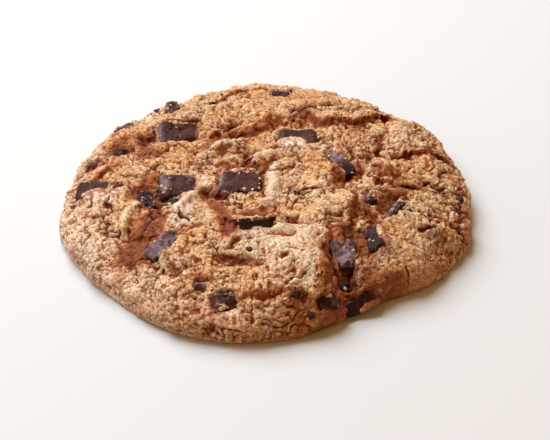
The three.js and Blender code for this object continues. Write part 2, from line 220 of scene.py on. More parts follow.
# %% [markdown]
# ## The shape of the baked round
# A ball of dough spreads into a round and rises a little more in the middle than at the rim. Its rim is
# never a true circle: it swells where dough ran out and draws in where a piece of chocolate held it back.
# Here that is a circle with a few soft swells, and a cross-section with a flat crown and a rounded
# shoulder.

# %% Round and cross-section
RADIUS = 46
CROWN_HEIGHT = 12.4
WAIST_HEIGHT = 2.6  # where the side is widest
FOOT_INSET = 0.9  # how far the base tucks in under the waist
CROWN_POWER = 3.2  # a higher power keeps the top flat further out
CENTRING = np.array([-0.31, 0.27, 0])  # brings the middle of the uneven outline to the origin

# where the rim swells or draws in: direction in degrees, rise in mm, spread in degrees
RIM_SWELLS = [
    (90, 1.9, 15), (145, -1.1, 28), (255, 2.4, 18), (301, -4.0, 12), (140, -0.9, 9), (115, -1.5, 11),
    (68, -1.1, 10), (17, -0.7, 8), (197, 0.9, 8), (226, -0.5, 9), (343, 1.0, 9), (24, 1.2, 9), (44, 0.8, 9),
]


def rim_radius(angle):
    r = np.full_like(angle, RADIUS, dtype=float)
    for at, rise, spread in RIM_SWELLS:
        off = (np.degrees(angle) - at + 180) % 360 - 180
        r += rise * np.exp(-((off / spread) ** 2) / 2)
    return r


def section(t):
    """Share of the rim radius, inset and height, for t from 0 (middle) to 1 (waist) to 2 (foot)."""
    crown = WAIST_HEIGHT + (CROWN_HEIGHT - WAIST_HEIGHT) * np.sqrt(1 - np.clip(t, 0, 1) ** CROWN_POWER)
    turn = np.clip(t - 1, 0, 1) * np.pi / 2
    inset = FOOT_INSET * (1 - np.cos(turn))
    return np.clip(t, 0, 1), inset, np.where(t <= 1, crown, WAIST_HEIGHT * (1 - np.sin(turn)))


around = np.radians(np.arange(360.0))
print("rim from", rim_radius(around).min().round(1), "to", rim_radius(around).max().round(1), "mm")

# %% [markdown]
# ## Cracks, valleys and ridges
# As the cookie rises its dry skin tears. Along some tears one side lifts above the other, which leaves a
# small cliff. Others open as plain cracks. Where the dough slid off a piece of chocolate it left a hollow
# or pushed up a ridge. Each of these is a path or a spot on the plan, with its height and width in
# millimetres, so that each can be moved on its own. Their places were picked on a photo and brought onto
# the plan through the camera's angle. Sculpting by hand would do as well, but it couldn't be changed by a
# number later.

# %% Cliffs
# path of the upper edge, rise of its left side, widths of the face along it, how far the rise reaches
SCARPS = [
    ([(-13.7, 10.8), (-12.2, 13.9), (-10.7, 15.3), (-9.1, 15.2), (-7.2, 14.2), (-5.4, 15.5),
      (-3.3, 15.9), (-1, 17.8), (0.4, 19.7), (3.9, 19.8), (6.9, 18.9), (8.6, 22), (10, 23.7),
      (10.9, 20.6), (12.5, 18.7), (14.8, 18.4), (17.4, 19.8), (19.9, 19.7), (22.3, 19.6), (24.8, 22.6),
      (27.8, 24.6), (31, 28.4)], 1.9, (1, 2.6, 2.4, 0.9, 0.8, 0.8), 16),
    ([(30.1, 7.4), (33, 8.4), (35.5, 9.4), (38, 10.2), (40.3, 11.2), (43, 12)], 1.3, (0.5, 1.4), 8),
    ([(-14, 29.4), (-10.3, 33.4), (-5, 34.9), (8, 36.9)], 0.9, (0.8, 0.8), 6),
    ([(-42.1, 3.5), (-41.3, 6.4), (-39.7, 6.8), (-37.5, 6.2), (-36.1, 8.2)], 1.4, (0.9, 0.9), 7),
    ([(-39.1, -2.8), (-37.7, -0.8), (-36.3, 1), (-34.8, 2)], 1, (0.7, 0.7), 5),
    ([(11.2, -43), (11.4, -39), (11.6, -35), (11.8, -31), (12, -27), (12.4, -22)], 2.5,
      (3.6, 4.4, 4.4, 3.4, 1), 14),
    ([(26.6, -24), (25.7, -26.2), (23.8, -29.3), (22.7, -30.8), (20, -32.2), (19.1, -33.7),
      (18.8, -35.6), (18.8, -37.6)], 2.2, (1, 1.2, 2, 1.6), 12),
    ([(14.8, -25.9), (16.1, -23.4), (17.7, -20.5), (18.3, -16.3), (18.5, -11.4), (17.5, -6.9)], 1.4,
      (1, 1.6, 1), 7),
    ([(23.4, -3.2), (25.6, -4), (28.2, -5.1)], 0.9, (0.6, 0.6), 5),
    ([(-10.2, -32.1), (-7.7, -32.8), (-5.2, -33.4), (-3.1, -34.5), (-0.7, -34)], 0.5, (0.7, 0.7), 5),
    ([(-5.3, -42.1), (-3.6, -42.6), (-2.2, -42.3), (-0.6, -41.7)], 0.9, (0.7, 0.7), 5),
    ([(-19.3, -31.8), (-18.1, -34.6), (-16.6, -36.8), (-14.9, -37.8), (-12.4, -37.8),
      (-10.4, -38.3)], 0.8, (0.7, 0.7), 6),
]
print(len(SCARPS), "cliffs")

# %% [markdown]
# ## Open cracks and valleys
# Where both sides of a tear stay level it is an open crack. Most are short and about a millimetre wide,
# and a few are valleys between two lobes of dough. A cut by a boolean would have clean walls, so each is a
# soft dip.

# %% Open cracks
# path, depth, half width
GROOVES = [
    ([(28.7, 19.3), (27.3, 16.1), (26.4, 12.4), (25.4, 8.5), (24.8, 4.4)], 1.3, 0.7),
    ([(27.6, 5.8), (27.8, 2.4), (28.3, -0.4), (28.7, -4.3)], 1.1, 0.6),
    ([(28.4, -2.8), (29.8, -0.9), (31.8, 0.8), (34, 3.7)], 0.9, 0.5),
    ([(30, -5.6), (31.7, -5.9), (33, -6.3), (34.6, -3.9), (36.5, -2.7)], 1.4, 0.8),
    ([(36.3, -4.3), (37.7, -4.1), (39.8, -3.8)], 1.2, 0.7),
    ([(35.1, -17), (36.7, -16.7), (38.4, -15)], 1, 0.5),
    ([(32.2, -20.9), (34.1, -19.5), (35.6, -19.1)], 0.9, 0.5),
    ([(-7.7, 4.5), (-5.9, 5.7), (-4.3, 6.6), (-2.3, 7.4), (0, 7.4), (1.1, 9.1), (2.5, 9.6)], 1.2, 0.6),
    ([(-4.5, 5.7), (-3.8, 3.2), (-3.1, -0.5)], 2, 0.8),
    ([(-1.8, -3.3), (0, -0.5), (1.3, 1.5), (2.7, 3.6), (4.3, 4.5)], 1.4, 0.7),
    ([(4.7, -1.7), (5.8, -0.5), (7.1, 2)], 1, 0.6),
    ([(3.5, -11.1), (5.3, -11.1), (7.4, -11.4), (9, -10.3), (10.7, -10.2), (12.7, -8.3)], 1.3, 0.7),
    ([(-5.7, -26.8), (-6.9, -28.3), (-7.7, -30.7)], 1.5, 0.7),
    ([(1, -26.2), (3, -25.8), (4.7, -26), (7, -25.5)], 1, 0.6),
    ([(3, -33.4), (4.3, -32.3), (5.7, -31.3)], 1.2, 0.7),
    ([(-5.2, -36), (-5.1, -37.8)], 0.8, 0.5),
    ([(0.4, -34.9), (1, -36.7)], 0.8, 0.5),
    ([(-2.9, -39), (-1.3, -38)], 0.7, 0.5),
    ([(0.4, -40.1), (1.2, -41.4), (2.6, -41.9)], 1.1, 0.6),
    ([(4.4, -37.7), (5.9, -36.6), (6.9, -35.5)], 0.7, 0.5),
    ([(-1.8, -44.6), (0, -44.2), (1.6, -43.3)], 0.9, 0.6),
    ([(-32.8, -22.6), (-31.1, -24.3), (-29.1, -26.3), (-27.1, -27.7)], 0.9, 0.6),
    ([(-29.3, -20.5), (-28.4, -23.7)], 0.9, 0.5),
    ([(-35.7, -11.3), (-34.8, -11), (-34.1, -12.3)], 1, 0.5),
    ([(-25.4, -30.5), (-23.5, -31.7), (-22.1, -33.8)], 1.2, 0.8),
    ([(5.6, -22.1), (6.7, -20.4), (7.3, -18.6)], 0.9, 0.6),
    ([(-3, -45.7), (-2.6, -46.7)], 0.9, 0.6),
    ([(-8, -45.6), (-7.8, -46.6), (-7.2, -47.3)], 1, 0.7),
    ([(29.8, -7.6), (26, -14.4), (22.6, -20.6), (18.5, -25)], 2.4, 2.2),
    ([(17.6, -29), (17.2, -34.5), (17.2, -38.5), (16.6, -47)], 4, 2.2),
    ([(-6.5, -41.9), (-1.1, -42.7), (4.4, -41.1)], 0.7, 0.7),
]
print(len(GROOVES), "cracks and valleys, deepest", max(depth for _, depth, _ in GROOVES), "mm")

# %% [markdown]
# ## Folds and ridges
# Soft dough that slides against a piece of chocolate piles up in a fold. A fold is the same path as a
# crack, with the sign turned, so the two share one way of making.

# %% Folds and ridges
# path, rise, half width
RIDGES = [
    ([(-14.7, 0.1), (-13.3, 3.4), (-11.8, 5.9), (-10, 8), (-7.8, 9.2), (-5.5, 10.1), (-3.7, 10)], 1.5, 1.5),
    ([(-9.8, 0.4), (-8.5, 2), (-6.7, 3.3), (-4.5, 2)], 1, 1.2),
    ([(-3.8, 1.4), (-2.7, 3.9), (-1.4, 5.2), (0.4, 5.2), (2.2, 6)], 1.1, 1.3),
    ([(2.2, 1.5), (1.6, -2.6), (1.8, -7.3), (0.5, -12), (-0.1, -15.7)], 1.4, 1.6),
    ([(-26.8, -11.6), (-28.2, -14.2), (-29.5, -17.2), (-30.3, -20.4), (-31.4, -22.4)], 1.7, 1.3),
    ([(-26.6, -11.9), (-25.5, -15.2), (-25.5, -18.5)], 0.9, 1.2),
    ([(-12.8, -8.6), (-14.7, -10), (-16.4, -11.8), (-17.8, -13.9), (-18.5, -17.4),
      (-19.3, -21.9)], 1.3, 1.4),
    ([(21.7, -2.3), (23.6, -0.1), (25.7, 1.5), (27.6, -0.3)], 1.1, 1.5),
    ([(-21.3, -29.3), (-21.3, -31.8), (-21.7, -34)], 1.1, 0.9),
    ([(-18.4, -29.5), (-17, -25.5), (-12, -25)], 0.7, 1.2),
    ([(-11.5, -3.8), (-11.5, -8.5), (-10.3, -11.5)], 0.9, 1),
    ([(7.3, -22.5), (11.2, -18.2), (15.1, -13.9), (17.4, -10.9)], 0.8, 2.4),
    ([(26.2, -24.8), (24.8, -27.3), (23.4, -29.6), (21.7, -31.2), (19.8, -31.6), (19.1, -33),
      (19.3, -34.7)], 1.2, 0.9),
]
print(len(RIDGES), "ridges")

# %% [markdown]
# ## Mounds, hollows and unevenness
# Some lumps have no direction: a mound where dough swelled, or a hollow where it sank beside the
# chocolate. Each is one soft spot. Below those, the whole crust is uneven at three scales, which noise
# gives better than a list.

# %% Mounds and hollows
# mounds (rise above 0) and hollows: middle, half sizes, turn in degrees, rise
SWELLS = [
    ((-27, -25.5), (5.5, 4.5), 20, -2.0), ((-17.5, -18), (3, 3.4), 0, 0.9),
    ((-5, -14.8), (6.3, 3.6), 3, -2.0), ((-0.7, -7), (1.4, 4.2), 0, -1.7), ((-11, -11), (1.7, 3), 0, -1.3),
    ((-33.3, 10.3), (3.4, 2), 6, -1.9), ((-27.4, 15), (2, 3), 0, -1.8), ((-28, 8), (3, 3.4), 0, -1.0),
    ((-34.7, 16.8), (2.6, 2.4), 0, 1.3), ((-26.2, 31.5), (3.4, 2.6), 30, 1.7),
    ((-10, 16.6), (3.6, 2.6), 0, -1.4), ((17.2, -3.6), (3.1, 5.4), -10, -2.2),
    ((16.5, -29.5), (4.6, 5.6), 0, -3.4), ((22.7, -12), (3, 2.6), 0, -0.9),
    ((-24.4, -11), (3.4, 4.8), 24, -1.6), ((31, -22), (8, 7), 30, 0.8),
    ((-9.4, -43.2), (3.4, 2.6), 0, -1.3),
]
# three scales of unevenness in the crust: wavelength and height
CRAGS = [(11, 0.75), (5, 0.6), (2.8, 0.42)]
print(len(SWELLS), "mounds and hollows,", len(CRAGS), "scales of unevenness")

# %% [markdown]
# ## From paths to height
# To turn a path into relief, each point of the crust needs its distance to the path and the side that it
# lies on. A cliff is then a smooth step across the path, and a crack is a bell-shaped dip along it. The
# paths are made to wander a little first, because torn dough never runs straight.

# %% Distance to a path
def along_path(path, x, y):
    """Distance with a sign (left is positive) and without, fade at both ends, share of the way along."""
    path = np.array(path, float)
    lengths = np.hypot(*np.diff(path, axis=0).T)
    total = lengths.sum()
    nearest = np.full(len(x), np.inf)
    side = np.ones(len(x))
    at = np.zeros(len(x))
    walked = 0
    for (ax, ay), (bx, by), length in zip(path, path[1:], lengths):
        ux, uy = (bx - ax) / length, (by - ay) / length
        along = np.clip((x - ax) * ux + (y - ay) * uy, 0, length)
        dx, dy = x - ax - ux * along, y - ay - uy * along
        gap = np.hypot(dx, dy)
        closer = gap < nearest
        side = np.where(closer, np.where(ux * dy - uy * dx < 0, -1, 1), side)
        at = np.where(closer, walked + along, at)
        nearest = np.where(closer, gap, nearest)
        walked += length
    taper = smooth_step(0, 0.18, np.minimum(at, total - at) / total + 0.04)
    return nearest * side, nearest, taper, at / total


def wandered(x, y):
    """The plan with the wobbles, a wide and a fine one, that make every path wander."""
    flat = np.stack([x, y, np.zeros_like(x)], 1)
    return (x + 0.4 * rolling(flat, 3.2, 5) + 0.35 * rolling(flat, 1.3, 7),
            y + 0.4 * rolling(flat, 3.2, 6) + 0.35 * rolling(flat, 1.3, 8))


def face_width(widths, share):
    """Width of the face of a cliff at that share of its length."""
    return np.interp(share, np.linspace(0, 1, len(widths)), widths)


print("longest cliff:", np.hypot(*np.diff(np.array(SCARPS[0][0], float), axis=0).T).sum().round(1), "mm")

# %% [markdown]
# ## All the relief together
# The rises and dips are simply added up over the plan. They could be separate pieces joined by booleans,
# but baked dough is one skin, and adding heights keeps it one.

# %% Relief
def relief(x, y):
    """Rise of the top above the plain dome."""
    x, y = wandered(x, y)
    z = np.zeros_like(x)
    for path, rise, widths, reach in SCARPS:
        offset, _, taper, share = along_path(path, x, y)
        foot = smooth_step(-1, 0, offset / face_width(widths, share))
        z += rise * taper * foot * np.exp(-np.maximum(0, offset) / reach)
    for path, depth, width in GROOVES:
        _, gap, taper, _ = along_path(path, x, y)
        z -= depth * taper * np.exp(-((gap / width) ** 2))
    for path, rise, width in RIDGES:
        _, gap, taper, _ = along_path(path, x, y)
        z += rise * taper * np.exp(-((gap / width) ** 2))
    for (ax, ay), (a, b), turn, rise in SWELLS:
        c, s = math.cos(math.radians(turn)), math.sin(math.radians(turn))
        dx, dy = x - ax, y - ay
        z += rise * np.exp(-(((dx * c + dy * s) / a) ** 2) - ((dy * c - dx * s) / b) ** 2)
    return z


plan_x, plan_y = (v.ravel() for v in np.meshgrid(np.arange(-30, 31, 5.0), np.arange(-30, 31, 5.0)))
plan_relief = relief(plan_x, plan_y)
print("relief from", plan_relief.min().round(2), "to", plan_relief.max().round(2), "mm")

# %% [markdown]
# ## The whole baked surface
# A point of the surface is given by how far along the cross-section it lies and in which direction. The
# crags push it out square to the section, so that the steep side is as rough as the top, and the relief
# lifts the top. Lifting everything straight up would be simpler, but would leave the side smooth.

# %% Baked surface
SECTION_STEP = 0.002  # how far apart two places on the section are taken, to find which way it faces


def surface(t, angle):
    """Points of the baked surface before its fine grain, from the place on the section and the direction."""
    share, inset, z = section(t)
    rim = rim_radius(angle)
    share_a, inset_a, z_a = section(np.maximum(0, t - SECTION_STEP))
    share_b, inset_b, z_b = section(t + SECTION_STEP)
    run, fall = (share_b - share_a) * rim - (inset_b - inset_a), z_a - z_b
    length = np.maximum(np.hypot(run, fall), 1e-9)
    outward, upward = fall / length, run / length
    r = share * rim - inset
    x, y = r * np.cos(angle), r * np.sin(angle)
    lift = np.clip((z - WAIST_HEIGHT) / (CROWN_HEIGHT - WAIST_HEIGHT), 0, 1) ** 0.6
    base = np.stack([x, y, z], 1)
    crag = sum(height * rolling(base, wave, n + 1) for n, (wave, height) in enumerate(CRAGS))
    crag *= smooth_step(0, WAIST_HEIGHT, z)
    rise = np.where(t <= 1, relief(x, y) * lift, 0)
    return np.stack([x + crag * outward * np.cos(angle), y + crag * outward * np.sin(angle),
                     z + crag * upward + rise], 1)


def top_point(x, y):
    """The point of the top over a place on the plan."""
    angle = np.array([math.atan2(y, x)])
    t = np.minimum(1, math.hypot(x, y) / rim_radius(angle))
    return np.array([x, y, surface(t, angle)[0, 2]])


print("height in the middle:", top_point(0, 0)[2].round(2), "mm")

# %% [markdown]
# ## Where the skin is torn
# The face of a cliff and the floor of a crack show the inside of the dough, which is crumbly and bakes
# darker, and its colour there is also painted shade, since a crack and a cliff face turned from the window
# lie in shade. They could be found from the slope, but a steep side isn't always a tear, so they come from
# the same paths.

# %% Torn faces
def torn_faces(x, y):
    """1 on the face of a cliff and at the bottom of a crack, falling to 0 beside them."""
    x, y = wandered(x, y)
    cliff, crack = np.zeros_like(x), np.zeros_like(x)
    for path, rise, widths, _ in SCARPS:
        offset, _, taper, share = along_path(path, x, y)
        face = face_width(widths, share)
        here = np.exp(-(((offset + 0.6 * face) / (0.2 + 0.5 * face)) ** 2)) * min(1, rise / 1.2)
        cliff = np.maximum(cliff, here * smooth_step(0.1, 0.5, taper))
    for path, depth, width in GROOVES:
        _, gap, taper, _ = along_path(path, x, y)
        here = np.exp(-((gap / (0.7 * min(width, 0.8))) ** 2))
        crack = np.maximum(crack, smooth_step(0.1, 0.5, taper) * here)
    return cliff, crack


torn_share = (np.maximum(*torn_faces(plan_x, plan_y)) > 0.5).mean()
print("torn share of the plan:", torn_share.round(3))

# %% [markdown]
# ## A mesh of even triangles
# A grid over a round has crowded corners, and a fan has slivers in the middle. Rings that gain six points
# each time give triangles of one size all over, as in a honeycomb. The rings follow the section by equal
# steps along its curve, so the steep shoulder gets as many as it needs. The base closes with coarser
# rings, since it is flat.

# %% Rings
TOP_RINGS = 166
SIDE_RINGS = 9


def stitch(inner, inner_count, outer, outer_count):
    """Triangles between two rings whose numbers of points may differ."""
    faces = []
    a = b = 0
    while a < inner_count or b < outer_count:
        i, o = inner + a % inner_count, outer + b % outer_count
        if (b + 1) * inner_count <= (a + 1) * outer_count:
            b += 1
            faces.append((i, o, outer + b % outer_count))
        else:
            a += 1
            faces.append((i, o, inner + a % inner_count))
    return faces


def ring_places(count):
    """Places on the section that are evenly spaced along its curve."""
    t = np.linspace(0, 1, 4001)
    share, _, z = section(t)
    walked = np.concatenate([[0], np.cumsum(np.hypot(np.diff(share) * RADIUS, np.diff(z)))])
    return np.interp(np.arange(1, count + 1) / count * walked[-1], walked, t)


print("first and last rings at", ring_places(TOP_RINGS)[[0, -1]].round(3))

# %% [markdown]
# ## The points and triangles of the round
# The rings are placed on the baked surface first. Then the flat base follows in rings that get coarser
# towards its middle, and neighbouring rings are stitched. One closed skin is easier to carve than a top
# and a base apart.

# %% Points and triangles
places = [(t, 6 * (k + 1)) for k, t in enumerate(ring_places(TOP_RINGS))]
edge_count = 6 * TOP_RINGS
places += [(1 + n / SIDE_RINGS, edge_count) for n in range(1, SIDE_RINGS + 1)]
base_shares = [(0.985, edge_count), (0.965, edge_count // 2), (0.93, edge_count // 3)]
base_shares += [(share, int(edge_count * share / 4)) for share in np.linspace(0.87, 0.05, 15)]

t_all = np.concatenate([[0.0]] + [np.full(count, t) for t, count in places])
angle_all = np.concatenate([[0.0]] + [2 * np.pi * np.arange(count) / count for _, count in places])
crust = surface(t_all, angle_all)
base_rings = []
for share, count in base_shares:
    angle = 2 * np.pi * np.arange(count) / count
    r = share * (rim_radius(angle) - FOOT_INSET)
    base_rings.append(np.stack([r * np.cos(angle), r * np.sin(angle), np.zeros(count)], 1))
crust_count = len(crust)
points = np.concatenate([crust] + base_rings + [np.zeros((1, 3))])

ring_counts = [count for _, count in places] + [count for _, count in base_shares]
ring_starts = np.concatenate([[1], 1 + np.cumsum(ring_counts)])[:-1]
faces = [(0, 1 + n, 1 + (n + 1) % 6) for n in range(6)]
for n in range(len(ring_counts) - 1):
    faces += stitch(int(ring_starts[n]), ring_counts[n], int(ring_starts[n + 1]), ring_counts[n + 1])
last = int(ring_starts[-1])
faces += [(last + n, len(points) - 1, last + (n + 1) % ring_counts[-1]) for n in range(ring_counts[-1])]
faces = np.array(faces)
print("dough mesh:", len(points), "points,", len(faces), "triangles")

# %% [markdown]
# ## Helpers for a triangle mesh
# Grain has to stand out square to the crust, so each point needs the direction that the crust faces there.
# To know which points lie deep in a crack, the mesh is compared with a smoothed copy of itself: what lies
# under the copy is a hollow, and what stands over it is a crest.

# %% Mesh helpers
def facings(points, faces):
    """Unit direction that the surface faces at each point."""
    a, b, c = (points[faces[:, n]] for n in range(3))
    square = np.cross(b - a, c - a)
    out = [np.bincount(faces.ravel(), np.repeat(square[:, n], 3), len(points)) for n in range(3)]
    out = np.stack(out, 1)
    return out / np.maximum(np.linalg.norm(out, axis=1, keepdims=True), 1e-12)


def edges_of(faces):
    """Each edge once, as the numbers of its two ends."""
    edges = np.sort(np.concatenate([faces[:, [0, 1]], faces[:, [1, 2]], faces[:, [2, 0]]]), 1)
    return np.unique(edges, axis=0)


def averaged(values, rounds, edges):
    """Each point's value, evened out with its neighbours' that many times."""
    ends = (edges[:, 0], edges[:, 1])
    neighbours = np.bincount(edges.ravel(), minlength=len(values))
    for _ in range(rounds):
        total = sum(
            np.stack([np.bincount(ends[n], column[ends[1 - n]], len(values)) for column in values.T], 1)
            for n in range(2)
        )
        values = 0.5 * values + 0.5 * total / neighbours[:, None]
    return values


edges = edges_of(faces)
edge_lengths = np.linalg.norm(np.diff(points[edges[:3000]], axis=1), axis=2)
print(len(edges), "edges, typical length", edge_lengths.mean().round(3))

# %% [markdown]
# ## Where the chocolate lies
# The chocolate is bars cut into rough blocks, so the pieces have flat faces and corners, not drops. Each
# lies its own way: the list holds the middle of the face that shows, its size, its turn, and how it tips
# towards the viewer or leans to the right. The dough needs these places too, because it dips and parts
# round each piece.

# %% Chocolate places
# middle on the plan, size across, along and through, turn, tilt, lean, and how proud its face stands
CHUNKS = [
    ((-5.7, -7), (9.8, 7.4, 6), -2, 8, 0, 0.4), ((-19.4, -7.1), (8.4, 7.2, 6), 6, 12, 4, 0.5),
    ((-26.1, -9.6), (3.2, 7.2, 4.6), 28, 14, -12, 0.7), ((-20.1, -12.7), (3, 2, 2), 8, 20, 0, 0.6),
    ((-20.2, 15), (9.6, 6.4, 6), 2, 26, 0, 0.9), ((-22.6, 29.3), (3.2, 4.2, 5), 0, 20, 4, 0.7),
    ((-33.8, 23), (5, 2.6, 3.6), 38, 0, -10, 0.5), ((-38.3, -5.2), (7.6, 5.4, 4.4), -4, 14, -8, 0.6),
    ((-32.4, -6.2), (2.8, 2.8, 3), 20, 14, 0, 0.5), ((-21.5, -27.4), (9.2, 3.8, 5.6), 50, 8, -10, 1.3),
    ((7.2, 11.7), (8.6, 6.8, 5), -3, 8, 0, 0.4), ((16.9, 2), (8.8, 4, 5.4), -58, 6, 10, 0.4),
    ((22.7, -12.1), (3.1, 2.8, 3), 0, 14, 0, 1.1), ((27.4, -15.8), (9.8, 1.9, 4), 58, 0, -12, 1.1),
    ((23.1, -24.9), (3.8, 6.8, 6), 10, 14, -26, 1.2), ((16.4, -27.6), (5.4, 7, 6.4), 6, 24, 0, 2.6),
    ((12.6, -41), (5, 3.7, 4), 16, 56, -4, 0.9), ((16, -33.9), (2.7, 2.3, 2.4), 10, 40, 0, 1.9),
    ((19.2, -37.8), (8, 3.8, 2.6), 33, 56, 12, 0.5), ((-2.1, -21.9), (11.8, 2.4, 5), 6, 48, 0, 0.9),
    ((3.2, 32.1), (4.7, 2.8, 3.2), -4, 20, 0, 0.5), ((-8.3, -42.5), (5.2, 4.2, 4.6), 10, 50, 0, 0.7),
    ((-13.3, -40), (2.4, 2.2, 2.6), 0, 44, 0, 0.5),
]
CHUNK_FLOOR = 1.2  # no chocolate comes nearer to the base than this
# specks of chocolate too small to be pieces: middle on the plan and width
SPECKS = [
    ((-13, 29.6), 1.8), ((-3.4, -31), 1.5), ((5, -11), 1.5), ((8.8, -10.6), 2.2), ((41.5, -11.5), 2.1),
    ((43, -5), 1.8), ((6.3, -41.6), 1.8), ((22.9, 3.7), 1.9), ((-2.6, 0.8), 2.0), ((-33.4, 10.6), 2.4),
    ((9.2, -44), 1.8),
]
widest = max(max(size) for _, size, *_ in CHUNKS)
print(len(CHUNKS), "pieces of chocolate, widest", widest, "mm, and", len(SPECKS), "specks")

# %% [markdown]
# ## Turn each piece its own way
# A piece keeps its own three directions: across, along, and the way its face looks. With them, the dough
# can ask how far any of its points lies from the face of a piece. Blender's own object rotation could hold
# the turn, but the pocket in the dough needs the same numbers.

# %% Turned pieces
def turned(turn, tilt, lean):
    """Columns are the piece's own across, along and facing directions: turned, then leant, then tilted."""
    t, a, b = (math.radians(v) for v in (turn, tilt, lean))
    about_z = np.array([[math.cos(t), -math.sin(t), 0], [math.sin(t), math.cos(t), 0], [0, 0, 1]])
    about_y = np.array([[math.cos(b), 0, math.sin(b)], [0, 1, 0], [-math.sin(b), 0, math.cos(b)]])
    about_x = np.array([[1, 0, 0], [0, math.cos(a), -math.sin(a)], [0, math.sin(a), math.cos(a)]])
    return about_x @ about_y @ about_z


# three pieces lie deeper than the crust beside them: the piece's number, and how far it comes down
SUNK = {17: 1.1, 18: 0.65, 20: 0.55}
chunk_frames = []
for number, (at, size, turn, tilt, lean, proud) in enumerate(CHUNKS, 1):
    axes = turned(turn, tilt, lean)
    middle = top_point(*at) + axes[:, 2] * proud
    middle[2] -= SUNK.get(number, 0)
    chunk_frames.append((middle, axes, size))
print("faces of the chocolate stand from", min(f[0][2] for f in chunk_frames).round(1), "to",
      max(f[0][2] for f in chunk_frames).round(1), "mm high")

# %% [markdown]
# ## Smooth and level plates
# A crust isn't equally rough all over. Some lobes baked nearly smooth, and on others the grains lie level,
# like paving. Each such place is a soft spot on the plan. It could be painted on the mesh by hand, but a
# spot is moved by changing one number.

# %% Smooth and level plates
def spot(at, size, turn, x, y):
    """A soft patch on the plan: 1 in its middle, falling to 0."""
    c, s = math.cos(math.radians(turn)), math.sin(math.radians(turn))
    dx, dy = x - at[0], y - at[1]
    return np.exp(-(((dx * c + dy * s) / size[0]) ** 2) - ((dy * c - dx * s) / size[1]) ** 2)


# plates that baked nearly smooth: middle, half sizes, turn, how smooth
SMOOTH_PLATES = [
    ((5, -30), (7, 5), 0, 0.45), ((-28.5, -16), (2.6, 5.5), 10, 0.85), ((-17.5, -18.5), (2, 4), -10, 0.6),
    ((1.5, -9), (1.6, 7), 0, 0.6), ((-6, 9), (5, 2), 0, 0.5), ((22, -37), (6, 5), 0, 0.6),
    ((12.5, -32), (1.6, 8), 0, 0.7), ((24, -31), (4, 3), 30, 0.6), ((2, -26.5), (7, 3), 0, 0.5),
    ((6.5, -15), (4, 4), 0, 0.4), ((9, 3), (6, 4), 0, 0.35), ((31.5, -13), (3.6, 5), 0, 0.45),
    ((-2, 26), (8, 3), 0, 0.3), ((31, -28), (7, 6), 20, 0.45), ((-8, 5.6), (6, 1.6), 8, 0.8),
    ((8, -26), (5, 8), 0, 0.6), ((4, -36), (7, 5), 0, 0.4), ((12, -14), (3, 8), 30, 0.6),
    ((-11, -17), (3, 5), 0, 0.8), ((29, -34), (10, 5), 20, 0.8), ((3, -24), (8, 3), 4, 0.5),
    ((-26.4, 30.3), (4.6, 2.4), 24, 0.9), ((-35.7, -8.9), (4.6, 1.8), -4, 0.85),
]
# plates whose grains lie level: middle, half sizes, turn, how level
FLAT_PLATES = [
    ((3, -28), (13, 8), 0, 0.9), ((9, -22), (5, 10), 0, 0.9), ((-38, -16), (9, 12), 0, 0.7),
    ((-20, -40), (14, 6), -20, 0.7), ((0, 28), (22, 7), 0, 0.7), ((34, -12), (7, 9), 0, 0.7),
    ((10, -6), (10, 9), 30, 0.6), ((14, 8), (8, 6), 0, 0.6), ((-22, 6), (10, 5), 10, 0.4),
    ((32, 14), (8, 8), 0, 0.5),
]
print(len(SMOOTH_PLATES), "smooth plates and", len(FLAT_PLATES), "level ones")
